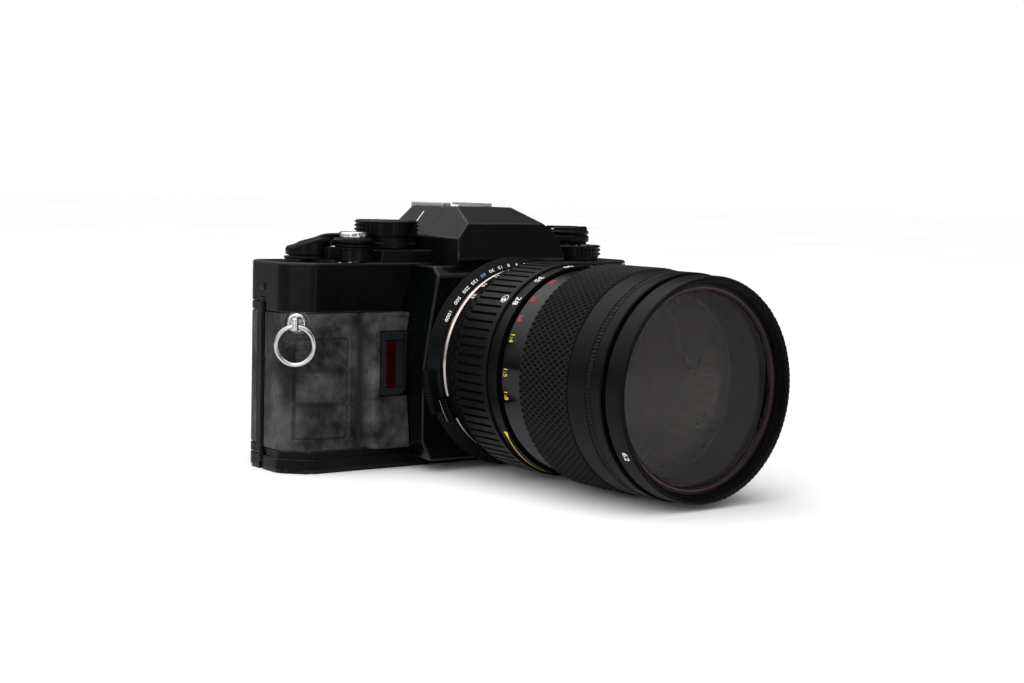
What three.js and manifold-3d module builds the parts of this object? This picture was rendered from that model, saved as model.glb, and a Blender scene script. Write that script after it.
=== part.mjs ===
// A 35 mm film single-lens reflex camera with a zoom lens and a screw-in filter.
// Millimetres, +Z up. The lens looks along -Y and the camera stands on its base at z = 0.
// The camera is laid out from the lens axis (x = 0) and moved at the end so that its origin is
// at the bottom centre of its bounding box.
import * as THREE from "three";
import { ConvexGeometry } from "three/addons/geometries/ConvexGeometry.js";
import { mergeVertices } from "three/addons/utils/BufferGeometryUtils.js";
import Module from "manifold-3d";

const wasm = await Module();
wasm.setup();

// ---------------------------------------------------------------- driving dimensions
const GAP = 0.3; // clearance between neighbouring pieces
const LENS_Z = 34.2; // height of the lens axis above the base
const RING_SIDES = 40; // facets round a lens ring
const KNOB_SIDES = 24; // facets round a knob or dial

const BODY = { left: -73.3, right: 66, front: -11.5, back: 17, top: 65.5 };
const CORNER = { deep: 7.8, mid: [1.8, 5.4], wide: 8 }; // faceted front corners of the body
const FACET_ANGLE = Math.atan2(CORNER.mid[1], CORNER.wide - CORNER.mid[0]);
const BACK_RADIUS = 5;
const WALL = 1.3; // sheet and moulding thickness of the covers
const RUBBER = 1.2; // thickness of the grip and door coverings
const COVER_LOW = 50.2; // lower edge of the top cover
const DOOR = { low: 4.8, high: 52.6, front: 7.6, wall: 1.5, rubberLow: 7.4 };
const BASE = { rim: 4.4, step: 6.6, inset: 0.6 };
const FILM_PLANE = 12.8; // y of the film rails
const DECK_TOP = 60; // top of the main casting under the top cover

const HOOD = { roof: 83.4, roofHalf: 11.1, roofFront: -9.3, back: 19.3, side: 20.3, knee: 73.6 };
const SHOE = { half: 10.2, front: 0.4, top: 84.5, slot: 2.05, lip: 0.75, lipHalf: 6.8 };

const ADVANCE = { x: -58.5, y: 4.3 }; // advance lever and take-up spool share this axis
const BUTTON = { x: -47.6, y: -5.2 };
const FILM_DIAL = { x: -30.8, y: 2, r: 10.4, low: 71.6, top: 78.6 };
const REWIND = { x: 43.5, y: 2 };
const FORK = { r: 3.4, low: 50.5, top: 57.2 };
const SPROCKET = { x: -36, y: 8.2 };
const HINGE = { x: -73, y: 6.4, r: 0.9 };
const MIRROR_HINGE = { y: 7, z: 50 };
const BATTERY = { x: 22.5, y: 0 };
const TRIPOD = { x: 0, y: 2 };

// stations along the lens, as y of the rear and front end of each piece
const LENS = {
  speedRing: [-26.6, -29.4],
  flange: [-26.6, -29.7],
  base: [-30, -32.5],
  aperture: [-32.8, -39.8],
  zoomGrip: [-40.1, -57],
  zoomScale: [-57, -61.8],
  scaleTube: [-62.1, -85],
  grip: [-73.7, -95.7],
  barrelEnd: -110.6,
  filter: [-112, -119.1],
};

// ---------------------------------------------------------------- materials
const finish = (color, roughness, metalness = 0, opacity = 1) =>
  new THREE.MeshStandardMaterial({ color, roughness, metalness, opacity, transparent: opacity < 1 });
const SATIN_BLACK = finish(0x17181a, 0.42);
const GLOSS_BLACK = finish(0x0c0d0e, 0.2);
const MATT_BLACK = finish(0x101010, 0.8);
const GRIP_RUBBER = finish(0x4a4c4d, 0.75);
const LENS_RUBBER = finish(0x1e1f20, 0.7);
const CHROME = finish(0xd8dadd, 0.12, 1);
const STEEL = finish(0xa9acb0, 0.3, 1);
const BRASS = finish(0xb89545, 0.35, 1);
const CASTING = finish(0x55585c, 0.55, 1);
const RED_WINDOW = finish(0x7a0f1a, 0.15);
const COATED_GLASS = finish(0x4b4645, 0.03, 0, 0.5);
const CLEAR_GLASS = finish(0xdfe6ea, 0.02, 0, 0.35);
const SILVERED = finish(0xeef0f2, 0.03, 1);
const CLOTH = finish(0x1a1a1a, 0.95);

// ---------------------------------------------------------------- geometry helpers
const WELD = 1e-4;

function toSolid(shape) {
  if (!(shape instanceof THREE.BufferGeometry)) return shape;
  const bare = new THREE.BufferGeometry();
  const flat = shape.index ? shape.toNonIndexed() : shape;
  bare.setAttribute("position", flat.getAttribute("position"));
  const merged = mergeVertices(bare, WELD);
  return new wasm.Manifold(
    new wasm.Mesh({
      numProp: 3,
      vertProperties: merged.getAttribute("position").array,
      triVerts: new Uint32Array(merged.index.array),
    }),
  );
}

function toGeometry(shape) {
  if (shape instanceof THREE.BufferGeometry) return shape;
  const mesh = shape.getMesh();
  const geometry = new THREE.BufferGeometry();
  geometry.setAttribute("position", new THREE.BufferAttribute(mesh.vertProperties, 3));
  geometry.setIndex(new THREE.BufferAttribute(mesh.triVerts, 1));
  return geometry;
}

const join = (first, ...others) => others.reduce((a, b) => a.add(toSolid(b)), toSolid(first));
const cut = (first, ...tools) => tools.reduce((a, b) => a.subtract(toSolid(b)), toSolid(first));
const common = (a, b) => toSolid(a).intersect(toSolid(b));

function box([x0, x1], [y0, y1], [z0, z1]) {
  const geometry = new THREE.BoxGeometry(x1 - x0, y1 - y0, z1 - z0);
  return geometry.translate((x0 + x1) / 2, (y0 + y1) / 2, (z0 + z1) / 2);
}

// A closed profile of [radius, height] points, listed so that the turned faces point out.
function facingOut(profile) {
  let twice = 0;
  profile.forEach(([r, h], i) => {
    const [nextR, nextH] = profile[(i + 1) % profile.length];
    twice += r * nextH - nextR * h;
  });
  return twice > 0 ? profile : [...profile].reverse();
}

function lathe(profile, sides) {
  const points = facingOut(profile).map(([r, h]) => new THREE.Vector2(r, h));
  points.push(points[0].clone());
  return new THREE.LatheGeometry(points, sides);
}

// Turned about the lens axis. A profile that touches the axis lists its end points with radius 0.
const lensTurned = (profile, sides = RING_SIDES) => lathe(profile, sides).translate(0, 0, LENS_Z);

// Turned about a vertical axis through the local origin.
const turned = (profile, sides = KNOB_SIDES) => lathe(profile, sides).rotateX(Math.PI / 2);

const ringProfile = (inner, outer, a, b) => [[inner, a], [outer, a], [outer, b], [inner, b]];
const discProfile = (r, a, b) => [[0, a], [r, a], [r, b], [0, b]];
const lensRing = (inner, outer, [a, b], sides) => lensTurned(ringProfile(inner, outer, b, a), sides);
const lensDisc = (r, [a, b], sides) => lensTurned(discProfile(r, b, a), sides);
const rod = (x, y, r, [z0, z1], sides = 20) => {
  const geometry = new THREE.CylinderGeometry(r, r, z1 - z0, sides).rotateX(Math.PI / 2);
  return geometry.translate(x, y, (z0 + z1) / 2);
};

function extrudeUp(points, [z0, z1]) {
  const shape = new THREE.Shape(points.map(([x, y]) => new THREE.Vector2(x, y)));
  const geometry = new THREE.ExtrudeGeometry(shape, { depth: z1 - z0, bevelEnabled: false });
  return geometry.translate(0, 0, z0);
}

const hull = (points) => new ConvexGeometry(points.map(([x, y, z]) => new THREE.Vector3(x, y, z)));
const bothSides = (points) => points.flatMap(([x, y, z]) => [[x, y, z], [-x, y, z]]);

// A convex outline, counter-clockwise, with every edge moved inwards.
function insetOutline(points, distance) {
  const edges = points.map(([x, y], i) => {
    const [nx, ny] = points[(i + 1) % points.length];
    const length = Math.hypot(nx - x, ny - y);
    const normal = [-(ny - y) / length, (nx - x) / length];
    return { normal, reach: normal[0] * x + normal[1] * y + distance };
  });
  return edges.map((edge, i) => {
    const before = edges[(i + edges.length - 1) % edges.length];
    const det = before.normal[0] * edge.normal[1] - before.normal[1] * edge.normal[0];
    return [
      (before.reach * edge.normal[1] - edge.reach * before.normal[1]) / det,
      (before.normal[0] * edge.reach - edge.normal[0] * before.reach) / det,
    ];
  });
}

// ---------------------------------------------------------------- body outline seen from above
function bodyOutline(inset = 0) {
  const { left, right, front, back } = BODY;
  const [midIn, midDeep] = CORNER.mid;
  const rounded = (cx, cy, from) =>
    Array.from({ length: 5 }, (_, i) => {
      const angle = from + (i * Math.PI) / 8;
      return [cx + BACK_RADIUS * Math.cos(angle), cy + BACK_RADIUS * Math.sin(angle)];
    });
  const outline = [
    [left, front + CORNER.deep],
    [left + midIn, front + midDeep],
    [left + CORNER.wide, front],
    [right - CORNER.wide, front],
    [right - midIn, front + midDeep],
    [right, front + CORNER.deep],
    ...rounded(right - BACK_RADIUS, back - BACK_RADIUS, 0),
    ...rounded(left + BACK_RADIUS, back - BACK_RADIUS, Math.PI / 2),
  ];
  return insetOutline(outline, inset);
}
const bodyPrism = (inset, range) => extrudeUp(bodyOutline(inset), range);

// ---------------------------------------------------------------- front housing round the lens mount
const HOUSING_FRONT = -26.3;
function housingHull(grow = 0) {
  return hull(
    bothSides([
      [28.5 + grow, -9, 64.9],
      [33.8 + grow, -9, 49],
      [30.5 + grow, -9, 7],
      [28 + grow, -9, 3.3],
      [29.3 + grow, HOUSING_FRONT, 62],
      [31.8 + grow, HOUSING_FRONT, 49],
      [34.5 + grow, HOUSING_FRONT, 32.3],
      [34.5 + grow, HOUSING_FRONT, 10],
      [31 + grow, HOUSING_FRONT, 3.6],
      [29.3 + grow, HOUSING_FRONT + 3.2, 64.9],
    ]),
  );
}
const MIRROR_BAY = { half: 19, low: 17.5, high: 51.8, back: 8.6 };

const parts = [];
const camera = new THREE.Group();
function addPart(name, shape, material, parent = camera) {
  const mesh = new THREE.Mesh(toGeometry(shape), material);
  mesh.name = name;
  parent.add(mesh);
  parts.push(mesh);
  return mesh;
}
function groupAt(x, y, z = 0) {
  const group = new THREE.Group();
  group.position.set(x, y, z);
  camera.add(group);
  return group;
}

// ---------------------------------------------------------------- main casting and chassis
function addCasting() {
  const cassetteR = 13.4;
  const spoolR = 11.3;
  const openBack = BODY.back + 1;
  const castingBack = FILM_PLANE;
  let casting = common(
    bodyPrism(WALL + GAP, [BASE.rim, DECK_TOP]),
    box([BODY.left, BODY.right], [BODY.front, castingBack], [0, DECK_TOP]),
  );
  casting = cut(
    casting,
    // side walls of the door reach round both ends
    box([BODY.left, BODY.left + 4.4], [DOOR.front - 3.2, openBack], [0, DOOR.high + GAP]),
    box([BODY.right - 3.6, BODY.right], [DOOR.front - GAP, openBack], [0, DOOR.high + GAP]),
    // cassette and take-up chambers, open to the back
    rod(REWIND.x, REWIND.y, cassetteR, [9, 57.5], KNOB_SIDES),
    box([REWIND.x - cassetteR, REWIND.x + cassetteR], [REWIND.y, openBack], [9, 57.5]),
    rod(ADVANCE.x, ADVANCE.y, spoolR, [14, 54.5], KNOB_SIDES),
    box([ADVANCE.x - spoolR + 3, ADVANCE.x + spoolR], [ADVANCE.y, openBack], [14, 54.5]),
    rod(SPROCKET.x, SPROCKET.y, 6.2, [14, 54.5], KNOB_SIDES),
    box([SPROCKET.x - 6.2, SPROCKET.x + 6.2], [SPROCKET.y, openBack], [14, 54.5]),
    // mirror bay, film gate and the bay of the prism
    box([-MIRROR_BAY.half, MIRROR_BAY.half], [-14, MIRROR_BAY.back], [MIRROR_BAY.low, MIRROR_BAY.high]),
    box([-18, 18], [0, openBack], [LENS_Z - 12, LENS_Z + 12]),
    box([-22.4, 22.4], [-14, openBack], [51.5, DECK_TOP + 1]),
    // shutter slot behind the mirror bay
    box([-24, 24], [MIRROR_BAY.back, MIRROR_BAY.back + 2], [18, 50.4]),
    // shafts that pass through the deck
    rod(REWIND.x, REWIND.y, FORK.r + GAP, [50, DECK_TOP + 1]),
    rod(ADVANCE.x, ADVANCE.y, 2.6, [50, DECK_TOP + 1]),
    // pockets in the underside
    rod(TRIPOD.x, TRIPOD.y, 6.6, [0, 7.4]),
    rod(BATTERY.x, BATTERY.y, 6.3, [0, 14]),
    rod(SPROCKET.x, SPROCKET.y, 2.9, [0, 8]),
  );
  // the front housing takes over in the middle of the front
  casting = cut(casting, housingHull(GAP));
  addPart("body_casting", casting, CASTING);
}

function addFrontHousing() {
  const bay = MIRROR_BAY;
  const housing = cut(
    housingHull(),
    box([-bay.half, bay.half], [-24, 0], [bay.low, bay.high]),
    lensDisc(24.2, [-20, -30], RING_SIDES),
    // upper part is set back under the prism hood
    hull(
      bothSides([
        [40, HOUSING_FRONT - 1, 62.6],
        [40, HOUSING_FRONT + 4.6, 66],
        [40, HOUSING_FRONT - 1, 66],
      ]),
    ),
    // the screen and the prism sit behind the top edge
    box([-22.4, 22.4], [-20.6, 0], [51.5, 70]),
  );
  addPart("front_housing", housing, GLOSS_BLACK);
}

// ---------------------------------------------------------------- covers
const hoodPoints = (inset) => {
  const { roof, roofHalf, roofFront, back, side, knee } = HOOD;
  return bothSides([
    [roofHalf - inset, roofFront + inset, roof - inset],
    [roofHalf - inset, back - 3 - inset, roof - inset],
    [roofHalf - inset, back - inset, roof - 2.2 - inset],
    [15.4 - inset, -21.8 + inset, 78.3 - inset],
    [side - inset, -23.8 + inset, knee - inset],
    [21.4 - inset, -25.5 + inset, 67],
    [side - inset, -24.4 + inset, 65.6],
    [side - inset, back - inset, knee - inset],
    [side - inset, back - inset, 53],
    [side - inset, -22.5 + inset, 65.2],
    [side - inset, -11 + inset, 53],
  ]);
};

const PLATFORM = { x0: -41.3, x1: -18, y0: BODY.front + 0.3, y1: 14, top: 69.4 };

function addTopCover() {
  const { x0, x1, y0, y1, top } = PLATFORM;
  const platform = hull([
    [x0, y0, BODY.top - 0.5],
    [x0, y1, BODY.top - 0.5],
    [x0 + 1.2, y0 + 0.6, top],
    [x0 + 1.2, y1 - 0.6, top],
    [x1, y0 + 0.6, top],
    [x1, y1 - 0.6, top],
    [x1, y0, BODY.top - 0.5],
    [x1, y1, BODY.top - 0.5],
  ]);
  const shell = join(bodyPrism(0, [COVER_LOW, BODY.top]), platform, hull(hoodPoints(0)));
  const hollow = join(
    bodyPrism(WALL, [COVER_LOW - 1, BODY.top - WALL]),
    hull(hoodPoints(WALL)),
    box([-HOOD.side + WALL, HOOD.side - WALL], [-11, HOOD.back - WALL], [COVER_LOW - 1, 56]),
  );
  const eyepiece = box([-7.6, 7.6], [HOOD.back - 4, HOOD.back + 2], [61.2, 71.4]);
  const cover = cut(
    shell,
    hollow,
    housingHull(GAP),
    // raised lower edge over the door and at the ends
    box([BODY.left - 1, BODY.right + 1], [DOOR.front - 3.4, HOOD.back + 1], [COVER_LOW - 1, DOOR.high + GAP]),
    eyepiece,
    // bed of the accessory shoe
    box([-SHOE.half - GAP, SHOE.half + GAP], [SHOE.front - GAP, HOOD.back + 1], [80.6, 90]),
    // holes for the control shafts
    rod(ADVANCE.x, ADVANCE.y, 2.6, [60, 70]),
    rod(BUTTON.x, BUTTON.y, 3.2, [60, 75]),
    rod(FILM_DIAL.x, FILM_DIAL.y, 3.2, [60, 75]),
    rod(REWIND.x, REWIND.y, 4.4, [60, 70]),
    rod(HINGE.x, HINGE.y, HINGE.r + GAP, [50, 54.3], 12),
  );
  addPart("top_cover", cover, SATIN_BLACK);
}

function addBottomCover() {
  const outer = join(bodyPrism(0, [0.9, BASE.rim]), bodyPrism(0.9, [0, 1]), bodyPrism(BASE.inset, [1, BASE.step]));
  const cover = cut(
    outer,
    bodyPrism(WALL, [WALL, BASE.step + 1]),
    // clear of the door hinge and the door
    box([BODY.left - 1, BODY.right + 1], [DOOR.front - 3.2, BODY.back + 1], [BASE.rim, BASE.step + 1]),
    housingHull(GAP),
    rod(TRIPOD.x, TRIPOD.y, 6.3, [-1, 3]),
    rod(BATTERY.x, BATTERY.y, 8, [-1, 3]),
    rod(SPROCKET.x, SPROCKET.y, 2.9, [-1, 3]),
    rod(HINGE.x, HINGE.y, HINGE.r + GAP, [2, 8], 12),
  );
  addPart("bottom_cover", cover, SATIN_BLACK);
}

// ---------------------------------------------------------------- underside fittings
function addUnderside() {
  addPart("tripod_bush", turned(ringProfile(3.2, 6, 0, 7), 32), STEEL, groupAt(TRIPOD.x, TRIPOD.y));
  const battery = groupAt(BATTERY.x, BATTERY.y);
  const coinSlot = box([-5, 5], [-0.9, 0.9], [-1, 0.9]);
  const cap = cut(turned(discProfile(7.7, 0, 2.4)), coinSlot);
  addPart("battery_cap", cap, SATIN_BLACK, battery);
  // two button cells, stacked
  const cell = (low) => [[5.2, low], [5.8, low + 0.8], [5.8, low + 5.3]];
  addPart("battery_cells", turned([[0, 2.7], ...cell(2.7), ...cell(8.3), [0, 13.6]]), STEEL, battery);
  addPart("rewind_release_button", turned(discProfile(2.5, 0.4, 5)), STEEL, groupAt(SPROCKET.x, SPROCKET.y));
}

// ---------------------------------------------------------------- rubber coverings
const GRIP = { low: 6.9, high: 49.9, creaseX: -49.5, ridgeX: -45, ridgeY: -16, end: -30 };
const LUG = { z: 46.9, r: 3, in: 4, deep: 3.5 }; // place from the outer front corner of the body

// A cylinder whose axis is the outward normal of a front corner facet; side is -1 left, 1 right.
function facetRod(side, r, [near, far], sides = 20) {
  const rodShape = new THREE.CylinderGeometry(r, r, far - near, sides).translate(0, (near + far) / 2, 0);
  rodShape.rotateX(-Math.PI / 2).rotateX(Math.PI);
  return rodShape.rotateZ(side * FACET_ANGLE).translate(lugX(side), BODY.front + LUG.deep, LUG.z);
}
const lugX = (side) => (side < 0 ? BODY.left + LUG.in : BODY.right - LUG.in);

function addRubber() {
  const { left, right, front } = BODY;
  const shell = cut(bodyPrism(0, [GRIP.low, GRIP.high]), bodyPrism(RUBBER, [0, COVER_LOW]));
  const leftHalf = common(shell, box([left - 1, 0], [front - 1, HINGE.y - 1.6], [0, COVER_LOW]));
  const bulge = extrudeUp(
    [[GRIP.creaseX, front], [GRIP.ridgeX, GRIP.ridgeY], [GRIP.end, GRIP.ridgeY], [GRIP.end, front + 1], [GRIP.creaseX, front + 1]],
    [GRIP.low, GRIP.high],
  );
  const lugNotch = (side) => facetRod(side, LUG.r + 0.8, [-4, 4]);
  const grip = cut(
    join(leftHalf, bulge),
    housingHull(GAP),
    lugNotch(-1),
    box([LED.left - GAP, LED.right + GAP + 3], [GRIP.ridgeY - 2, front - 0.5], [LED.low - GAP, LED.high + GAP]),
  );
  addPart("grip_rubber", grip, GRIP_RUBBER);
  const rightHalf = common(shell, box([0, right + 1], [front - 1, DOOR.front - 2], [0, COVER_LOW]));
  addPart("front_rubber", cut(rightHalf, housingHull(GAP), lugNotch(1)), GRIP_RUBBER);
}

const LED = { left: -43.4, right: -35.4, low: 23.8, high: 44, front: -17 };
function addLedWindow() {
  const window = [[LED.left + 1.5, LED.left + 4.9], [LED.front - 0.2, LED.front + 1.6], [26.6, 41.2]];
  const recess = box([LED.left + 1.2, LED.right - 1.4], [LED.front - 1, LED.front + 1.9], [26.3, 41.5]);
  const bezel = cut(box([LED.left, LED.right], [LED.front, BODY.front - 0.9], [LED.low, LED.high]), recess);
  addPart("led_bezel", cut(bezel, housingHull(GAP)), MATT_BLACK);
  addPart("led_window", box(...window), RED_WINDOW);
}

// ---------------------------------------------------------------- strap lugs and split rings
const SPLIT_RING = { r: 5.85, wire: 0.65 };
function addStrapLug(side, word) {
  const pin = groupAt(lugX(side), BODY.front + LUG.deep);
  pin.rotation.z = side * FACET_ANGLE;
  // in this group +Y points into the body and X runs along the facet
  const washer = new THREE.CylinderGeometry(LUG.r, LUG.r, 2.1, 24).translate(0, 0.25, 0);
  const eye = box([-1.1, 1.1], [-3.7, -0.7], [LUG.z - 2.6, LUG.z + 1.8]);
  const hole = new THREE.CylinderGeometry(1.05, 1.05, 4, 16).rotateZ(Math.PI / 2).translate(0, -2.3, LUG.z - 1);
  addPart("strap_lug_" + word, cut(join(washer.translate(0, 0, LUG.z), eye), hole), CHROME, pin);
  const ring = new THREE.TorusGeometry(SPLIT_RING.r, SPLIT_RING.wire, 6, 24).rotateX(Math.PI / 2);
  addPart("split_ring_" + word, ring.translate(0, -2.3, LUG.z - 1 - SPLIT_RING.r), CHROME, pin);
}

// ---------------------------------------------------------------- film door
function addDoor() {
  const { left, right, back } = BODY;
  const tray = cut(
    common(
      bodyPrism(0, [DOOR.low, DOOR.high]),
      box([left - 1, right + 1], [DOOR.front, back + 1], [0, DOOR.high]),
    ),
    bodyPrism(DOOR.wall, [0, DOOR.high + 1]),
    box([31, 56], [FILM_PLANE + 1, back + 1], [26, 42]),
  );
  // a thin seat for the rubber covering
  const seat = cut(bodyPrism(-1, [DOOR.rubberLow, COVER_LOW]), bodyPrism(RUBBER - 0.4, [0, DOOR.high]));
  addPart("film_door", cut(tray, common(seat, box([left, right], [DOOR.front + 2, back + 1], [0, 60]))), SATIN_BLACK);
  const skin = cut(bodyPrism(0, [DOOR.rubberLow + GAP, COVER_LOW - GAP]), bodyPrism(RUBBER - 0.4 - GAP, [0, DOOR.high]));
  const cover = cut(
    common(skin, box([left, right], [DOOR.front + 2 + GAP, back + 1], [0, 60])),
    box([30.2, 56.8], [10, back + 1], [25.2, 42.8]),
  );
  addPart("door_rubber", cover, GRIP_RUBBER);
  addPart("film_window", box([31.4, 55.6], [back - 1.7, back - 0.5], [26.4, 41.6]), CLEAR_GLASS);
  addPart("pressure_plate", box([-29, 29], [FILM_PLANE + 0.4, FILM_PLANE + 1.2], [LENS_Z - 17, LENS_Z + 17]), MATT_BLACK);
  const leaf = extrudeUp([[-12, 14.5], [0, 14.3], [12, 14.5], [12, 14.7], [0, 14.5], [-12, 14.7]], [LENS_Z - 3, LENS_Z + 3]);
  addPart("pressure_spring", leaf, STEEL);
  addPart("door_hinge_pin", rod(HINGE.x, HINGE.y, HINGE.r, [2.4, 54], 12), STEEL);
}

// ---------------------------------------------------------------- viewfinder and shutter
function addViewfinder() {
  const { half, back } = MIRROR_BAY;
  const pose = new THREE.Group();
  pose.position.set(0, MIRROR_HINGE.y, MIRROR_HINGE.z);
  pose.rotation.x = Math.PI / 4;
  camera.add(pose);
  addPart("reflex_mirror", box([-half + 1.5, half - 1.5], [-31, 0], [-0.9, 0.3]), SILVERED, pose);
  addPart("focusing_screen", box([-18, 18], [-19, 5], [52, 53.4]), CLEAR_GLASS);
  const prism = hull([
    ...bothSides([
      [15.5, -18.6, 53.8],
      [15.5, 6, 53.8],
      [15.5, -18.6, 62],
      [12, -8, 72.5],
      [6, 2, 75.5],
      [9.5, 13, 59],
      [9.5, 13, 71],
    ]),
    [0, -15, 76.2],
    [0, 6, 78],
  ]);
  addPart("pentaprism", prism, CLEAR_GLASS);
  addPart("shutter_curtain", box([-23.5, 23.5], [back + 0.5, back + 1.3], [18.4, 50]), CLOTH);
  const frame = cut(
    hull(
      bothSides([
        [10.5, HOOD.back + GAP, 58.4],
        [10.5, HOOD.back + GAP, 73],
        [9, HOOD.back + 2.8, 59.8],
        [9, HOOD.back + 2.8, 71.6],
      ]),
    ),
    box([-6.6, 6.6], [HOOD.back - 1, HOOD.back + 4], [61.6, 70.6]),
  );
  addPart("eyepiece_frame", frame, MATT_BLACK);
  addPart("eyepiece_glass", box([-7.2, 7.2], [HOOD.back - 3.6, HOOD.back - 0.2], [61.6, 71]), CLEAR_GLASS);
}

// ---------------------------------------------------------------- accessory shoe
function addShoe() {
  const { half, front, top, slot, lip, lipHalf } = SHOE;
  const floor = top - lip - slot;
  const back = HOOD.back - 0.3;
  const channel = cut(
    box([-half, half], [front, back], [floor - 0.8, top]),
    box([-half + 0.85, half - 0.85], [front - 1, back - 1.2 + 3], [floor, top - lip]),
    box([-lipHalf, lipHalf], [front - 1, back + 3], [floor, top + 1]),
    rod(0, 9, 3.4, [floor - 2, top]),
  );
  addPart("hot_shoe", channel, STEEL);
  addPart("shoe_contact", turned(discProfile(1.1, floor - 0.9, floor + 0.3), 16), BRASS, groupAt(0, 9));
}

// ---------------------------------------------------------------- top controls
function addAdvanceLever() {
  const place = groupAt(ADVANCE.x, ADVANCE.y);
  const hub = turned([[0, 66.1], [7.2, 66.1], [7.2, 70.4], [6.2, 73.2], [0, 73.7]]);
  const arm = new THREE.Shape();
  arm.moveTo(0, -4.5);
  arm.quadraticCurveTo(12, -5, 23, -2.5);
  arm.absarc(23, 0, 2.5, -Math.PI / 2, Math.PI / 2);
  arm.quadraticCurveTo(12, 0.5, 0, 4.5);
  const blade = new THREE.ExtrudeGeometry(arm, { depth: 4, bevelEnabled: false, curveSegments: 8 });
  blade.translate(0, 0, 70).rotateZ(THREE.MathUtils.degToRad(27));
  const shaft = rod(0, 0, 2.2, [57, 67]);
  addPart("advance_lever", join(hub, blade, shaft), SATIN_BLACK, place);
  const spool = [[0, 14.4], [7.6, 14.4], [7.6, 16], [6.4, 16.4], [6.4, 52], [7.6, 52.4], [7.6, 54], [0, 54]];
  addPart("take_up_spool", turned(spool), MATT_BLACK, place);
  const teeth = [16.4, 51].map((z) => turned([[0, z], [5.1, z], [5.1, z + 1.4], [0, z + 1.4]], 16));
  const drum = turned([[0, 14.4], [4.3, 14.4], [4.3, 54], [0, 54]], 16);
  addPart("sprocket", join(drum, ...teeth), STEEL, groupAt(SPROCKET.x, SPROCKET.y));
}

function addShutterControls() {
  const place = groupAt(BUTTON.x, BUTTON.y);
  const button = [[0, 62], [2.6, 62], [2.6, 72.4], [4.6, 72.4], [4.6, 73.8], [4.2, 74.2], [0, 74]];
  addPart("shutter_button", turned(button), CHROME, place);
  const collar = turned([
    [3.1, 65.8], [6, 65.8], [6, 69.4], [6.3, 69.6], [6.3, 70.7], [5.7, 70.9], [5.7, 71.2], [6.4, 71.5],
    [6.4, 72.6], [6, 73], [5, 73], [5, 70.5], [3.1, 70.5],
  ]);
  const tab = box([-10, -5.2], [-1.7, 1.7], [66.2, 70.2]);
  addPart("power_lever", join(collar, tab), SATIN_BLACK, place);
  const { r, low, top } = FILM_DIAL;
  const dial = turned([
    [0, 62], [2.8, 62], [2.8, 69.7], [9.9, 69.7], [9.9, low - 0.3], [9.4, low], [9.4, 73.3], [r, 73.6], [r, top - 0.4],
    [r - 0.5, top], [0, top],
  ]);
  addPart("film_speed_dial", dial, SATIN_BLACK, groupAt(FILM_DIAL.x, FILM_DIAL.y));
}

function addRewind() {
  const place = groupAt(REWIND.x, REWIND.y);
  addPart("mode_ring", turned([[4.2, 65.8], [11.4, 65.8], [11.4, 66.8], [12.2, 67], [12.2, 70.4], [11.6, 70.7], [4.2, 70.7]]), SATIN_BLACK, place);
  const crankSlot = box([-8.5, 8.5], [-2, 2], [75.1, 78]);
  const knob = cut(
    turned([[0, 71], [7.4, 71], [7.4, 71.6], [8, 71.9], [8, 75], [7.3, 75.4], [7.3, 76.6], [6.9, 77.1], [0, 77.1]]),
    crankSlot,
    rod(0, 0, 2.1, [70, 74.5]),
  );
  addPart("rewind_knob", knob, SATIN_BLACK, place);
  const crank = join(box([-6, 6.4], [-1.7, 1.7], [75.6, 76.4]), rod(5, 0, 1.6, [76.3, 77]));
  addPart("rewind_crank", crank, STEEL, place);
  addPart("rewind_shaft", rod(0, 0, 1.8, [57.5, 74.2]), STEEL, place);
  const fork = cut(turned(discProfile(FORK.r, FORK.low, FORK.top)), box([-4, 4], [-0.9, 0.9], [50, 54]));
  addPart("rewind_fork", fork, STEEL, place);
}

// ---------------------------------------------------------------- lens mount and speed ring
function fingerTab(angle, [inner, outer], spread, [a, b]) {
  const shape = new THREE.Shape();
  const mid = THREE.MathUtils.degToRad(angle);
  const half = THREE.MathUtils.degToRad(spread / 2);
  shape.absarc(0, 0, outer, mid - half, mid + half, false);
  shape.absarc(0, 0, inner, mid + half, mid - half, true);
  const geometry = new THREE.ExtrudeGeometry(shape, { depth: a - b, bevelEnabled: false, curveSegments: 6 });
  // the shape is drawn in x and z and thickened along y
  return geometry.rotateX(Math.PI / 2).translate(0, a, LENS_Z);
}

const FINGER_TAB_ANGLE = 194; // counted from +X towards +Z
const RELEASE_ANGLE = 206;
const PREVIEW_ANGLE = -26;

function addMount() {
  const [rear, front] = LENS.speedRing;
  const ring = lensTurned([[29.4, rear], [33.6, rear], [33.6, rear - 0.8], [31.6, front], [29.4, front]]);
  const tab = fingerTab(FINGER_TAB_ANGLE, [30, 36], 24, [rear - 0.2, front - 0.3]);
  addPart("shutter_speed_ring", join(ring, tab), GLOSS_BLACK);
  addPart("lens_mount_flange", lensRing(23.6, 29.1, LENS.flange), CHROME);
}

// ---------------------------------------------------------------- lens
function addLensRear() {
  const [rear, front] = LENS.base;
  const pocket = (angle) => fingerTab(angle, [26, 33], 15, [rear + 1, front - 1]);
  const base = cut(
    lensTurned([
      [17, -26], [22.8, -26], [22.8, rear], [31.3, rear], [31.3, rear - 1.2], [30.6, front], [17, front],
    ]),
    pocket(RELEASE_ANGLE),
    pocket(PREVIEW_ANGLE),
  );
  addPart("lens_base", base, CHROME);
  const button = (angle) => fingerTab(angle, [28.2, 32.6], 13, [rear - 0.1, front + 0.1]);
  addPart("lens_release_button", button(RELEASE_ANGLE), SATIN_BLACK);
  addPart("depth_preview_button", button(PREVIEW_ANGLE), SATIN_BLACK);
  addPart("rear_element", lensTurned([[0, -27], [12, -28], [16.6, -29.6], [16.6, -32], [0, -32]], 32), CLEAR_GLASS);
}

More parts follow.
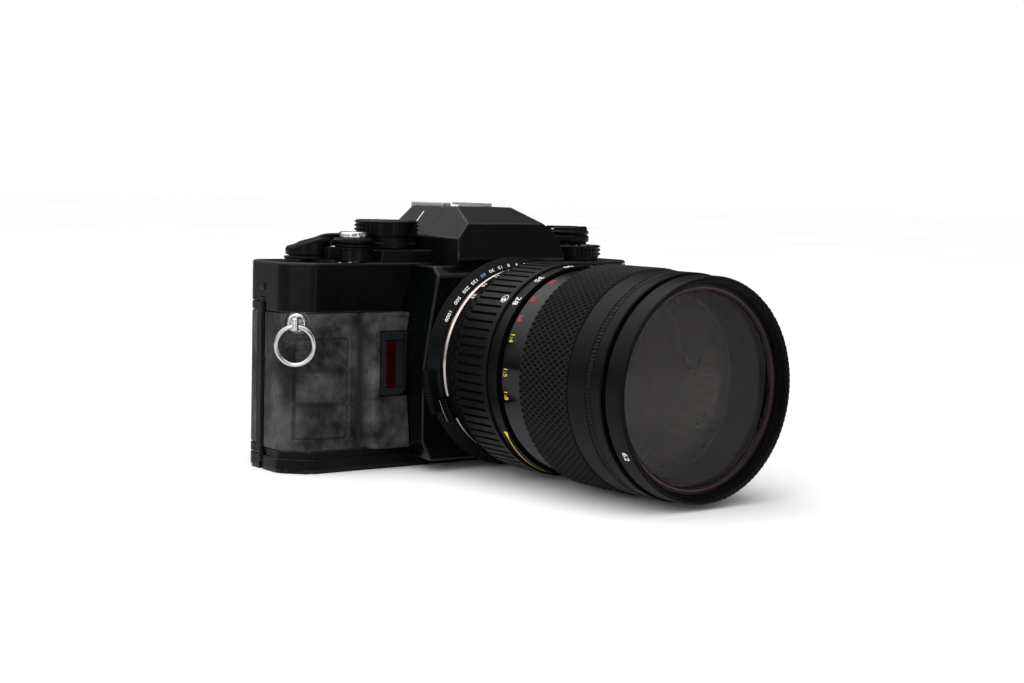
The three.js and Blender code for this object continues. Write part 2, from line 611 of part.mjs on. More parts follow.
function addLensBarrel() {
  const [apertureRear, apertureFront] = LENS.aperture;
  addPart("lens_barrel", lensRing(25, 28.4, [apertureRear, -66]), MATT_BLACK);
  const ribbed = [
    [28.8, apertureRear], [30.6, apertureRear], [31, apertureRear - 0.6], [31, apertureFront + 1.6],
    [30.2, apertureFront + 1.2], [30.2, apertureFront], [28.8, apertureFront],
  ];
  addPart("aperture_ring", lensTurned(ribbed), SATIN_BLACK);
  addPart("iris_diaphragm", lensRing(7, 24.6, [-40, -41.4], 32), MATT_BLACK);
  const [gripRear, gripFront] = LENS.zoomGrip;
  const [, scaleFront] = LENS.zoomScale;
  const sleeve = [
    [28.8, gripRear], [30.7, gripRear], [30.7, gripFront - GAP], [32.4, gripFront - GAP],
    [32.4, scaleFront], [28.8, scaleFront],
  ];
  addPart("zoom_scale_ring", lensTurned(sleeve), SATIN_BLACK);
  addPart("zoom_grip_rubber", lensRing(31, 33.1, [gripRear, gripFront]), LENS_RUBBER);
  addPart("zoom_element", lensTurned([[0, -52.4], [24.6, -51.4], [24.6, -58.6], [0, -59.8]], 32), CLEAR_GLASS);
  const [tubeRear, tubeFront] = LENS.scaleTube;
  const tube = [
    [28.8, tubeRear], [30.3, tubeRear], [30.3, tubeRear - 2.4], [31.5, tubeRear - 2.6], [31.5, tubeFront],
    [30.4, tubeFront], [30.4, tubeRear - 4], [28.8, tubeRear - 4],
  ];
  addPart("distance_scale_tube", lensTurned(tube), GLOSS_BLACK);
}

function addLensFront() {
  const [gripRear, gripFront] = LENS.grip;
  const end = LENS.barrelEnd;
  addPart("helicoid_sleeve", lensRing(28.4, 30.1, [-75.4, -93]), BRASS);
  const barrel = [
    [31.8, gripRear], [32.3, gripRear], [32.3, gripFront - GAP], [33, gripFront - GAP], [33, end],
    [31, end], [31, end - 1.1], [29.4, end - 1.1], [29.4, -111.4], [27, -111.4], [27, -96], [31.8, -96],
  ];
  addPart("front_barrel", lensTurned(barrel), SATIN_BLACK);
  addPart("focus_grip_rubber", lensRing(32.6, 33.6, [gripRear, gripFront]), LENS_RUBBER);
  const front = [[0, -109.8], [14, -109], [26.6, -105.6], [26.6, -102.5], [0, -101]];
  addPart("front_element", lensTurned(front.reverse(), 32), COATED_GLASS);
  const [ringRear, ringFront] = LENS.filter;
  const filter = [
    [28.9, ringRear], [32.5, ringRear], [32.5, ringFront + 0.5], [32, ringFront], [29.9, ringFront], [29.9, -114.4],
    [28.9, -114.4],
  ];
  addPart("filter_ring", lensTurned(filter), SATIN_BLACK);
  addPart("filter_glass", lensDisc(28.6, [-112.6, -114.3], 48), COATED_GLASS);
}

addCasting();
addFrontHousing();
addTopCover();
addBottomCover();
addUnderside();
addRubber();
addLedWindow();
addStrapLug(-1, "left");
addStrapLug(1, "right");
addDoor();
addViewfinder();
addShoe();
addAdvanceLever();
addShutterControls();
addRewind();
addMount();
addLensRear();
addLensBarrel();
addLensFront();

const group = new THREE.Group();
group.add(camera);
const bounds = new THREE.Box3().setFromObject(camera);
const centre = bounds.getCenter(new THREE.Vector3());
camera.position.set(-centre.x, -centre.y, -bounds.min.z);

export default group;
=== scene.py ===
"""Looks of a 35 mm film single-lens reflex camera with a zoom lens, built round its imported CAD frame.

Shapes are drawn in millimetres from the lens axis (x = 0, z = LENS_Z) with the base at z = 0, and LAYOUT
carries them into the frame in metres.
"""
import math

import bmesh
import bpy
from mathutils import Matrix, Vector


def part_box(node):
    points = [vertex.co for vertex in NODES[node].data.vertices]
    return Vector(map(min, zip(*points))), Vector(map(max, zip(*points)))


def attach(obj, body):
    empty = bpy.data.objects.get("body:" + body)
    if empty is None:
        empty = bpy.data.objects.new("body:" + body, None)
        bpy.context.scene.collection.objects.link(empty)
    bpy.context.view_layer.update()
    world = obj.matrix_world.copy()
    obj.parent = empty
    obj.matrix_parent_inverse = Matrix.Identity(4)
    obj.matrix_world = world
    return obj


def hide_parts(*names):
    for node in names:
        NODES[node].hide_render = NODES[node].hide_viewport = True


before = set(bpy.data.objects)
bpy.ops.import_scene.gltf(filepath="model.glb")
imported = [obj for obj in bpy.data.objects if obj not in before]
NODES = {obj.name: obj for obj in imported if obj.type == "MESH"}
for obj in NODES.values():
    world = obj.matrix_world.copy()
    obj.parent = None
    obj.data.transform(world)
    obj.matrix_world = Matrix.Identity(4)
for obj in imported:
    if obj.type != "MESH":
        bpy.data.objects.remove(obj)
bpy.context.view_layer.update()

MM = 0.001
LENS_Z = 34.2
FILTER_FRONT = -119.1  # y of the filter's front rim
filter_low, filter_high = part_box("filter_ring")
base_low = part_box("bottom_cover")[0]
AXIS_X = (filter_low.x + filter_high.x) / 2
LAYOUT = Matrix.Translation((AXIS_X, filter_low.y - FILTER_FRONT * MM, base_low.z)) @ Matrix.Scale(MM, 4)


# ---------------------------------------------------------------- materials
class Shader:
    """A node material under construction: thin helpers over its node tree."""

    def __init__(self, name):
        self.material = bpy.data.materials.new(name)
        self.material.use_nodes = True
        self.nodes = self.material.node_tree.nodes
        self.links = self.material.node_tree.links
        self.bsdf = self.nodes["Principled BSDF"]
        self.place = self.nodes.new("ShaderNodeTexCoord").outputs["Object"]

    def value(self, **sockets):
        for key, number in sockets.items():
            self.bsdf.inputs[key.replace("_", " ")].default_value = number

    def stretch(self, scale):
        node = self.nodes.new("ShaderNodeMapping")
        node.inputs["Scale"].default_value = scale
        self.links.new(self.place, node.inputs["Vector"])
        return node.outputs["Vector"]

    def noise(self, scale, detail=3.0, rough=0.55, vector=None):
        node = self.nodes.new("ShaderNodeTexNoise")
        node.inputs["Scale"].default_value = scale
        node.inputs["Detail"].default_value = detail
        node.inputs["Roughness"].default_value = rough
        self.links.new(vector or self.place, node.inputs["Vector"])
        return node.outputs["Fac"]

    def cells(self, scale, feature="F1"):
        node = self.nodes.new("ShaderNodeTexVoronoi")
        node.feature = feature
        node.inputs["Scale"].default_value = scale
        self.links.new(self.place, node.inputs["Vector"])
        return node.outputs["Distance"]

    def span(self, source, low, high, to_low=0.0, to_high=1.0):
        node = self.nodes.new("ShaderNodeMapRange")
        for key, number in (("From Min", low), ("From Max", high), ("To Min", to_low), ("To Max", to_high)):
            node.inputs[key].default_value = number
        self.links.new(source, node.inputs["Value"])
        return node.outputs["Result"]

    def tone(self):
        node = self.nodes.new("ShaderNodeAttribute")
        node.attribute_name = "tone"
        return node.outputs["Fac"]

    def times(self, first, second):
        node = self.nodes.new("ShaderNodeMath")
        node.operation = "MULTIPLY"
        self.links.new(first, node.inputs[0])
        self.links.new(second, node.inputs[1])
        return node.outputs["Value"]

    def blend(self, factor, first, second):
        node = self.nodes.new("ShaderNodeMix")
        node.data_type = "RGBA"
        self.links.new(factor, node.inputs["Factor"])
        for key, colour in (("A", first), ("B", second)):
            socket = [s for s in node.inputs if s.name == key and s.type == "RGBA"][0]
            if isinstance(colour, tuple):
                socket.default_value = (*colour, 1.0)
            else:
                self.links.new(colour, socket)
        return [s for s in node.outputs if s.type == "RGBA"][0]

    def colour(self, source):
        self.links.new(source, self.bsdf.inputs["Base Color"])

    def roughness(self, source):
        self.links.new(source, self.bsdf.inputs["Roughness"])

    def bump(self, height, depth_mm, strength=1.0):
        node = self.nodes.new("ShaderNodeBump")
        node.inputs["Distance"].default_value = depth_mm * MM
        node.inputs["Strength"].default_value = strength
        self.links.new(height, node.inputs["Height"])
        self.links.new(node.outputs["Normal"], self.bsdf.inputs["Normal"])


def coating(name, dark, light, gloss, blotch=90, grain=2200, grain_mm=0.02, dust=0.0, crest_highlight=None, **sockets):
    """Paint, plastic, rubber or metal: colour and gloss drift in blotches over a fine grain, with dust. A
    crest colour, if given, is a painted highlight laid on where the stored tone is high.
    """
    s = Shader(name)
    s.value(**sockets)
    drift = s.noise(blotch, 4.0, 0.6)
    colour = s.blend(s.span(drift, 0.35, 0.68), dark, light)
    # painted highlight: the crest colour lightens the raised parts that the tone marks
    if crest_highlight:
        colour = s.blend(s.tone(), colour, crest_highlight)
    if dust:
        specks = s.span(s.cells(520), 0.10, 0.04)
        sparse = s.span(s.noise(160, 2.0), 0.60, 0.66, 0.0, dust)
        colour = s.blend(s.times(specks, sparse), colour, (0.42, 0.41, 0.39))
    s.colour(colour)
    s.roughness(s.span(s.noise(blotch * 2.3, 5.0, 0.65), 0.3, 0.7, *gloss))
    s.bump(s.noise(grain, 3.0, 0.5), grain_mm)
    return s.material


def worn_edge(name, paint, metal, cover=0.56, **sockets):
    """Painted edge rubbed through to metal in patches."""
    s = Shader(name)
    s.value(**sockets)
    rubbed = s.times(s.span(s.noise(240, 6.0, 0.75), cover, cover + 0.07),
                     s.span(s.noise(38, 2.0), 0.42, 0.6))
    s.colour(s.blend(rubbed, paint, metal))
    s.links.new(s.span(rubbed, 0.0, 1.0, 0.0, 0.8), s.bsdf.inputs["Metallic"])
    s.roughness(s.span(s.noise(500, 4.0), 0.3, 0.7, 0.26, 0.44))
    s.bump(s.noise(1500, 4.0), 0.012)
    return s.material


def grip_finish():
    """Old grip rubber: dark under a pale uneven bloom, with rub marks and a fine sandy grain. The bloom is
    scaled by the stored tone, which carries painted shade and a painted highlight along with wear.
    """
    s = Shader("grip_rubber_aged_painted_shade")
    s.value(Specular_IOR_Level=0.12)
    cloud = s.span(s.noise(75, 6.0, 0.66), 0.38, 0.62)
    fine = s.span(s.noise(420, 5.0, 0.7), 0.3, 0.7, 0.72, 1.1)
    bloom = s.times(cloud, fine)
    # the tone brings in painted shade and a painted highlight along with wear
    base = s.blend(s.times(bloom, s.tone()), (0.0060, 0.0062, 0.0062), (0.064, 0.065, 0.0648))
    rubs = s.span(s.noise(70, 3.0, 0.5, s.stretch((1.0, 1.0, 0.35))), 0.60, 0.70)
    dark = s.blend(rubs, base, (0.0065, 0.0067, 0.0067))
    scratch = s.span(s.noise(160, 2.0, 0.4, s.stretch((4.2, 4.2, 0.7))), 0.715, 0.74)
    s.colour(s.blend(scratch, dark, (0.0025, 0.0025, 0.0025)))
    s.roughness(s.span(cloud, 0.0, 1.0, 0.5, 0.72))
    s.bump(s.noise(2600, 4.0, 0.6), 0.035)
    return s.material


def brushed(name, dark, light, gloss, along, **sockets):
    """Machined metal with fine lines drawn out along one axis."""
    s = Shader(name)
    s.value(Metallic=1.0, **sockets)
    lines = s.noise(900, 5.0, 0.7, s.stretch(along))
    s.colour(s.blend(s.span(lines, 0.3, 0.7), dark, light))
    s.roughness(s.span(s.noise(130, 5.0, 0.65), 0.3, 0.7, *gloss))
    s.bump(lines, 0.004)
    return s.material


def glass(name, tint, ior, haze=(0.008, 0.03), **sockets):
    s = Shader(name)
    s.value(Transmission_Weight=1.0, IOR=ior, **sockets)
    film = s.noise(55, 4.0, 0.6)
    s.colour(s.blend(s.span(film, 0.3, 0.7), tint, tuple(0.96 * c for c in tint)))
    s.roughness(s.span(film, 0.35, 0.7, *haze))
    return s.material


def lamp_window():
    """Moulded red lens over the self-timer lamp, banded from top to bottom."""
    s = Shader("lamp_window_red")
    s.value(Coat_Weight=0.12, Coat_Roughness=0.06, Specular_IOR_Level=0.1)
    bands = s.noise(330, 2.0, 0.5, s.stretch((0.1, 0.1, 1.6)))
    s.colour(s.blend(s.span(bands, 0.35, 0.65), (0.0045, 0.0003, 0.0005), (0.020, 0.0004, 0.0010)))
    s.roughness(s.span(s.noise(900), 0.3, 0.7, 0.1, 0.22))
    s.bump(bands, 0.05)
    return s.material


PAINT = coating("satin_black_paint", (0.0018, 0.0019, 0.0019), (0.0032, 0.0034, 0.0033), (0.20, 0.32),
                grain=3200, grain_mm=0.005, dust=0.06, Specular_IOR_Level=0.065)
PAINT_EDGE = worn_edge("satin_black_edge", (0.004, 0.004, 0.004), (0.050, 0.046, 0.040), cover=0.60,
                       Specular_IOR_Level=0.16)
GLOSSY = coating("gloss_black_moulding", (0.0006, 0.0012, 0.0009), (0.0012, 0.0021, 0.0016), (0.12, 0.20),
                 blotch=60, grain=1400, grain_mm=0.003, dust=0.05, Specular_IOR_Level=0.08)
GLOSSY_EDGE = worn_edge("gloss_black_edge", (0.0028, 0.0032, 0.0030), (0.013, 0.013, 0.012), cover=0.5,
                        Specular_IOR_Level=0.2)
MATT = coating("matt_black_moulding", (0.003, 0.003, 0.003), (0.0055, 0.0055, 0.0055), (0.62, 0.8),
               grain=2600, grain_mm=0.02, Specular_IOR_Level=0.1)
LENS_PAINT = coating("lens_black_anodised", (0.0013, 0.0013, 0.0014), (0.0024, 0.0024, 0.0025), (0.26, 0.38),
                     blotch=45, grain=4200, grain_mm=0.003, dust=0.08, Specular_IOR_Level=0.055)
TUBE = coating("lens_tube_gloss", (0.0006, 0.0006, 0.0007), (0.0012, 0.0012, 0.0013), (0.08, 0.14),
               blotch=40, grain=900, grain_mm=0.002, dust=0.08, Specular_IOR_Level=0.15)
GRIP = grip_finish()
# painted highlight: the diamond crests of the focus grip are coloured lighter, on top of real dust
LENS_RUBBER = coating("lens_rubber_dusty_painted_crests", (0.0026, 0.0026, 0.0027), (0.0045, 0.0045, 0.0046), (0.5, 0.66),
                      crest_highlight=(0.0155, 0.0155, 0.0157),
                      blotch=70, grain=3000, grain_mm=0.015, dust=0.25, Specular_IOR_Level=0.08)
ZOOM_RUBBER = coating("zoom_rubber_dusty", (0.0016, 0.0016, 0.0017), (0.0031, 0.0031, 0.0032), (0.30, 0.44),
                      blotch=60, grain=3000, grain_mm=0.012, dust=0.15, Specular_IOR_Level=0.08)
LENS_BLACK = coating("lens_interior_black", (0.0006, 0.0006, 0.0006), (0.0011, 0.0011, 0.0011), (0.75, 0.85),
                     blotch=30, grain=900, grain_mm=0.0005, Specular_IOR_Level=0.03)
CHROME = coating("bright_chrome", (0.38, 0.38, 0.385), (0.50, 0.50, 0.505), (0.09, 0.16),
                 blotch=120, grain=2000, grain_mm=0.0008, Metallic=1.0)
WARM_CHROME = coating("mount_ring_chrome", (0.34, 0.29, 0.27), (0.44, 0.39, 0.36), (0.16, 0.26),
                      blotch=150, grain=2000, grain_mm=0.001, Metallic=1.0)
STEEL = brushed("machined_steel", (0.36, 0.37, 0.38), (0.56, 0.57, 0.58), (0.22, 0.36), (1.0, 0.12, 1.0))
SHOE_METAL = brushed("shoe_plated_steel", (0.34, 0.34, 0.36), (0.50, 0.50, 0.53), (0.25, 0.38),
                     (1.0, 0.05, 1.0))
BRASS = brushed("brass", (0.44, 0.30, 0.11), (0.60, 0.43, 0.18), (0.24, 0.4), (1.0, 0.15, 1.0))
CASTING = coating("cast_alloy", (0.13, 0.135, 0.14), (0.21, 0.215, 0.22), (0.42, 0.6),
                  blotch=160, grain=900, grain_mm=0.05, Metallic=0.9)
BLACK_METAL = coating("blackened_metal", (0.004, 0.004, 0.004), (0.008, 0.008, 0.008), (0.30, 0.42),
                      grain=1800, grain_mm=0.005, Specular_IOR_Level=0.12)
LAMP_RED = lamp_window()
LAMP_GREY = coating("lamp_bezel_grey", (0.0045, 0.0060, 0.0078), (0.0075, 0.0095, 0.0118), (0.4, 0.55),
                    grain=2600, grain_mm=0.015, Specular_IOR_Level=0.15)
FILTER_GLASS = glass("filter_glass", (0.94, 0.90, 0.885), 1.20, (0.004, 0.02))
# painted shade: the grey tints of the front and inner glass darken what is seen through them, standing in for
# the dark inside of the lens
FRONT_GLASS = glass("front_element_glass", (0.72, 0.68, 0.67), 1.22, (0.004, 0.012))
INNER_GLASS = glass("inner_glass", (0.30, 0.30, 0.31), 1.16)
CLEAR_PLASTIC = glass("clear_plastic", (0.86, 0.88, 0.88), 1.49, (0.04, 0.12))
SILVERED = coating("silvered_mirror", (0.86, 0.87, 0.88), (0.92, 0.93, 0.94), (0.015, 0.05),
                   blotch=80, grain=900, grain_mm=0.0005, Metallic=1.0)
CLOTH = coating("shutter_cloth", (0.009, 0.009, 0.009), (0.017, 0.017, 0.017), (0.85, 0.95),
                blotch=300, grain=2400, grain_mm=0.06, Specular_IOR_Level=0.2)
DULL_RED = coating("dull_red_sealing", (0.045, 0.010, 0.010), (0.075, 0.018, 0.018), (0.3, 0.5),
                   Specular_IOR_Level=0.4)
WHITE_INK = coating("white_ink", (0.66, 0.66, 0.63), (0.78, 0.78, 0.75), (0.45, 0.6), grain_mm=0.005)
RED_INK = coating("red_ink", (0.42, 0.015, 0.02), (0.55, 0.03, 0.03), (0.45, 0.6), grain_mm=0.005)
YELLOW_INK = coating("yellow_ink", (0.58, 0.40, 0.04), (0.72, 0.52, 0.07), (0.45, 0.6), grain_mm=0.005)
BLUE_INK = coating("blue_ink", (0.08, 0.22, 0.42), (0.12, 0.3, 0.52), (0.45, 0.6), grain_mm=0.005)


# ---------------------------------------------------------------- shape helpers
def new_shape():
    return bmesh.new()


def round_edges(shape, edges, radius, steps=2, worn=True):
    made = bmesh.ops.bevel(shape, geom=edges, offset=radius, offset_type="OFFSET", segments=steps,
                           profile=0.5, affect="EDGES", clamp_overlap=True)
    if worn:
        for face in made["faces"]:
            face.material_index = 1


SHARP = 13  # degrees: gentler folds of a hull stay unrounded and are shaded smooth
ON_AXIS = 1e-6  # a profile point nearer the axis than this closes the turning there


def hull(points, radius=0.0, steps=2, worn=True):
    """The convex solid round some points, with its edges rounded."""
    shape = new_shape()
    for point in points:
        shape.verts.new(point)
    bmesh.ops.convex_hull(shape, input=shape.verts[:])
    bmesh.ops.delete(shape, geom=[v for v in shape.verts if not v.link_faces], context="VERTS")
    bmesh.ops.dissolve_limit(shape, angle_limit=math.radians(0.4), use_dissolve_boundaries=False,
                             verts=shape.verts[:], edges=shape.edges[:])
    if radius:
        sharp = [e for e in shape.edges if e.calc_face_angle(0.0) > math.radians(SHARP)]
        round_edges(shape, sharp, radius, steps, worn)
    return shape


def box(x, y, z, radius=0.0, steps=2, worn=True):
    return hull([(a, b, c) for a in x for b in y for c in z], radius, steps, worn)


def prism(outline, low, high, radius_low=0.0, radius_high=0.0, steps=3, worn=True):
    """An outline drawn upwards, with its lower and upper edges rounded."""
    shape = new_shape()
    bottom = [shape.verts.new((x, y, low)) for x, y in outline]
    top = [shape.verts.new((x, y, high)) for x, y in outline]
    shape.faces.new(bottom[::-1])
    shape.faces.new(top)
    count = len(outline)
    for i in range(count):
        j = (i + 1) % count
        shape.faces.new((bottom[i], bottom[j], top[j], top[i]))
    for radius, ring in ((radius_low, set(bottom)), (radius_high, set(top))):
        if radius:
            edges = [e for e in shape.edges if e.is_valid and all(v in ring for v in e.verts)]
            round_edges(shape, edges, radius, steps, worn)
    return shape


def even(count, start=0.0):
    return [start + 2 * math.pi * i / count for i in range(count)]


def along_lens(r, angle, y):
    return Vector((r * math.cos(angle), y, LENS_Z + r * math.sin(angle)))


def upright(cx, cy):
    return lambda r, angle, z: Vector((cx + r * math.cos(angle), cy + r * math.sin(angle), z))


def eased_corner(before, corner, after, reach, steps, share=0.45):
    """A soft bend in place of a corner, from up to reach before it, within share of each line it joins."""
    p = Vector(corner)
    back, ahead = Vector(before) - p, Vector(after) - p
    start = p + back.normalized() * min(reach, back.length * share)
    end = p + ahead.normalized() * min(reach, ahead.length * share)
    along = [k / steps for k in range(steps + 1)]
    return [start * (1 - t) ** 2 + p * 2 * t * (1 - t) + end * t * t for t in along]


def softened(profile, radius=0.2, steps=3):
    """The closed profile with every corner off the axis turned into a short arc."""
    out = []
    for i, corner in enumerate(profile):
        if Vector(corner).x < ON_AXIS:
            out.append(tuple(Vector(corner)))
        else:
            bend = eased_corner(profile[i - 1], corner, profile[(i + 1) % len(profile)], radius, steps)
            out += [tuple(point) for point in bend]
    return out


def turn(shape, profile, place=along_lens, angles=None, relief=None, closed=True):
    """Turns a closed (radius, height) profile; relief(radius, angle, height) gives the radius to use."""
    angles = angles or even(144)
    rings = []
    for r, h in profile:
        if r < ON_AXIS:
            rings.append([shape.verts.new(place(0.0, 0.0, h))])
        else:
            rings.append([shape.verts.new(place(relief(r, a, h) if relief else r, a, h)) for a in angles])
    count = len(angles)
    for i, low in enumerate(rings):
        high = rings[(i + 1) % len(rings)]
        for j in range(count if closed else count - 1):
            k = (j + 1) % count
            corners = (low[j % len(low)], low[k % len(low)], high[k % len(high)], high[j % len(high)])
            corners = list(dict.fromkeys(corners))
            if len(corners) > 2:
                shape.faces.new(corners)
    if not closed:
        shape.faces.new([ring[0] for ring in rings])
        shape.faces.new([ring[-1] for ring in rings][::-1])
    return shape


def turned(profile, place=along_lens, angles=None, relief=None, soft=0.2):
    return turn(new_shape(), softened(profile, soft) if soft else profile, place, angles, relief)


def arc(profile, middle, spread, place=along_lens, relief=None, soft=0.25, steps=24):
    """Part of a turning, from middle - spread/2 to middle + spread/2 degrees."""
    start = math.radians(middle - spread / 2)
    angles = [start + math.radians(spread) * i / steps for i in range(steps + 1)]
    return turn(new_shape(), softened(profile, soft), place, angles, relief, closed=False)


def disc(place, r, low, high, soft=0.2, sides=64):
    return turned([(0, low), (r, low), (r, high), (0, high)], place, even(sides), soft=soft)


def tube(place, inner, outer, low, high, soft=0.2, sides=64):
    return turned([(inner, low), (outer, low), (outer, high), (inner, high)], place, even(sides), soft=soft)


def merge(first, *others):
    """Puts other shapes beside the first in one mesh, keeping their finish numbers."""
    for other in others:
        holder = bpy.data.meshes.new("holder")
        other.to_mesh(holder)
        other.free()
        first.from_mesh(holder)
        bpy.data.meshes.remove(holder)
    return first


def moved(shape, matrix):
    shape.transform(matrix)
    return shape


def refinish(shape, number):
    for face in shape.faces:
        face.material_index = number
    return shape


def combine(first, operation, *others):
    """Joins or cuts closed shapes exactly."""
    objects = []
    for shape in (first, *others):
        bmesh.ops.recalc_face_normals(shape, faces=shape.faces[:])
        mesh = bpy.data.meshes.new("solid")
        shape.to_mesh(mesh)
        shape.free()
        for _ in range(4):
            mesh.materials.append(None)
        solid = bpy.data.objects.new("solid", mesh)
        bpy.context.scene.collection.objects.link(solid)
        objects.append(solid)
    base = objects[0]
    for other in objects[1:]:
        cutter = base.modifiers.new("combine", "BOOLEAN")
        cutter.operation = operation
        cutter.solver = "EXACT"
        cutter.object = other
    bpy.context.view_layer.update()
    evaluated = base.evaluated_get(bpy.context.evaluated_depsgraph_get())
    result = new_shape()
    result.from_mesh(evaluated.to_mesh())
    evaluated.to_mesh_clear()
    for solid in objects:
        mesh = solid.data
        bpy.data.objects.remove(solid)
        bpy.data.meshes.remove(mesh)
    bmesh.ops.remove_doubles(result, verts=result.verts[:], dist=0.002)
    return result


def make(name, shape, body, slot, *finishes, stands_for=(), crease=38, tone=None):
    """Turns a shape into a piece that rides on a body. tone(point) is stored for its material."""
    bmesh.ops.recalc_face_normals(shape, faces=shape.faces[:])
    for face in shape.faces:
        face.smooth = True
    for edge in shape.edges:
        if len(edge.link_faces) == 2:
            edge.smooth = edge.calc_face_angle(0.0) < math.radians(crease)
    tones = [tone(v.co) for v in shape.verts] if tone else []
    shape.transform(LAYOUT)
    mesh = bpy.data.meshes.new(name)
    shape.to_mesh(mesh)
    shape.free()
    if tones:
        mesh.attributes.new("tone", "FLOAT", "POINT").data.foreach_set("value", tones)
    for finish in finishes:
        mesh.materials.append(finish)
    piece = bpy.data.objects.new(name, mesh)
    bpy.context.scene.collection.objects.link(piece)
    piece.modifiers.new("normals", "WEIGHTED_NORMAL").keep_sharp = True
    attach(piece, body)
    if stands_for:
        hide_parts(*stands_for)
    return piece


def flat_letters(text, size, raise_mm=0.04):
    """Centred lettering as a thin slab in the XY plane, in millimetres."""
    curve = bpy.data.curves.new("letters", "FONT")
    curve.body = text
    curve.size = size
    curve.align_x = "CENTER"
    curve.align_y = "CENTER"
    curve.extrude = raise_mm
    curve.resolution_u = 3
    holder = bpy.data.objects.new("letters", curve)
    bpy.context.scene.collection.objects.link(holder)
    bpy.context.view_layer.update()
    mesh = bpy.data.meshes.new_from_object(holder.evaluated_get(bpy.context.evaluated_depsgraph_get()))
    shape = new_shape()
    shape.from_mesh(mesh)
    bpy.data.objects.remove(holder)
    bpy.data.curves.remove(curve)
    bpy.data.meshes.remove(mesh)
    return shape


def ring_letters(items, size, r, y, slope=0.0, widen=1.0):
    """Lettering round a lens ring as (text, degrees), reading as the angle grows, with its tops to the front.
    slope is how much the radius grows for each millimetre towards the back."""
    whole = new_shape()
    lean = 1 / math.hypot(1, slope)
    for text, degrees in items:
        shape = flat_letters(text, size)
        for v in shape.verts:
            up, out = v.co.y * lean, v.co.z
            radius = r - slope * up + out
            v.co = along_lens(radius, math.radians(degrees) + v.co.x * widen / r, y - up)
        merge(whole, shape)
    return whole


def dial_letters(items, size, cx, cy, r, z):
    """Numbers round the flat top of a dial, with their feet towards its middle."""
    whole = new_shape()
    for text, degrees in items:
        place = Matrix.Translation((cx, cy, z)) @ Matrix.Rotation(math.radians(degrees - 90), 4, "Z")
        merge(whole, moved(flat_letters(text, size), place @ Matrix.Translation((0, r, 0))))
    return whole


def studs(cx, cy, r, rows, count, width, height, depth, start=0.0):
    """Rows of small raised pads round a dial."""
    whole = new_shape()
    for z in rows:
        for angle in even(count, start):
            pad = hull([(a * width / 2 * s, o, b * height / 2 * s) for a in (-1, 1) for b in (-1, 1)
                        for o, s in ((0.0, 1.0), (depth, 0.72))])
            turn_to = Matrix.Rotation(angle - math.pi / 2, 4, "Z")
            merge(whole, moved(pad, Matrix.Translation((cx, cy, z)) @ turn_to @ Matrix.Translation((0, r,
                                                                                                    0))))
    return whole


def screw(r, height=0.5):
    """A cross-slotted screw head standing on the XY plane."""
    head = turned([(0, 0), (r, 0), (r, height * 0.7), (r * 0.6, height), (0, height)], upright(0, 0),
                  even(32), soft=0.1)
    slot = height * 0.45
    long, thin = r * 0.62, r * 0.15
    return combine(head, "DIFFERENCE", box((-long, long), (-thin, thin), (slot, height + 1)),
                   box((-thin, thin), (-long, long), (slot, height + 1)))


# ---------------------------------------------------------------- body layout, as in the CAD
LEFT, RIGHT, FRONT, BACK, TOP = -73.3, 66.0, -11.5, 17.0, 65.5
CORNER_DEEP, CORNER_IN, CORNER_MID, CORNER_WIDE = 7.8, 1.8, 5.4, 8.0
FACET = math.atan2(CORNER_MID, CORNER_WIDE - CORNER_IN)
GAP = 0.3
COVER_LOW, DOOR_HIGH, DOOR_LOW, DOOR_FRONT = 50.2, 52.6, 4.8, 7.6
ADVANCE, BUTTON, FILM_DIAL, REWIND = (-58.5, 4.3), (-47.6, -5.2), (-30.8, 2.0), (43.5, 2.0)


FRONT_CORNERS, FRONT_EASE = 6, 1.3  # the outline's front corners come first and are eased; the back is round
LUG_Z, LUG_IN, LUG_BACK = 46.9, 4, 3.5  # middle of each corner facet, where the strap lug sits


def inset_outline(points, distance):
    """The closed outline moved inwards."""
    edges = []
    for i, (x, y) in enumerate(points):
        nx, ny = points[(i + 1) % len(points)]
        length = math.hypot(nx - x, ny - y)
        normal = (-(ny - y) / length, (nx - x) / length)
        edges.append((normal, normal[0] * x + normal[1] * y + distance))
    out = []
    for i, (n, d) in enumerate(edges):
        m, e = edges[i - 1]
        det = m[0] * n[1] - n[0] * m[1]
        out.append(((e * n[1] - d * m[1]) / det, (m[0] * d - n[0] * e) / det))
    return out


def body_outline(inset=0.0, radius=5.0, steps=8):
    """The body from above: front corners cut by two facets each, back corners round."""
    def rounded(cx, cy, start):
        return [(cx + radius * math.cos(start + i * math.pi / 2 / steps),
                 cy + radius * math.sin(start + i * math.pi / 2 / steps)) for i in range(steps + 1)]

    outline = [
        (LEFT, FRONT + CORNER_DEEP), (LEFT + CORNER_IN, FRONT + CORNER_MID), (LEFT + CORNER_WIDE, FRONT),
        (RIGHT - CORNER_WIDE, FRONT), (RIGHT - CORNER_IN, FRONT + CORNER_MID), (RIGHT, FRONT + CORNER_DEEP),
        *rounded(RIGHT - radius, BACK - radius, 0.0), *rounded(LEFT + radius, BACK - radius, math.pi / 2),
    ]
    corners = inset_outline(outline, inset)
    eased = []
    for i in range(FRONT_CORNERS):
        bend = eased_corner(corners[i - 1], corners[i], corners[i + 1], FRONT_EASE, 4)
        eased += [tuple(point) for point in bend]
    return eased + corners[FRONT_CORNERS:]


def both_sides(points):
    return [p for x, y, z in points for p in ((x, y, z), (-x, y, z))]


HOUSING_FRONT = -26.3


def housing_hull(grow=0.0, radius=0.0):
    return hull(both_sides([
        (28.5 + grow, -9, 64.9), (33.8 + grow, -9, 49), (30.5 + grow, -9, 7), (28 + grow, -9, 3.3),
        (29.3 + grow, HOUSING_FRONT, 62), (31.8 + grow, HOUSING_FRONT, 49),
        (34.5 + grow, HOUSING_FRONT, 32.3),
        (34.5 + grow, HOUSING_FRONT, 10), (31 + grow, HOUSING_FRONT, 3.6),
        (29.3 + grow, HOUSING_FRONT + 3.2, 64.9),
    ]), radius, 3)


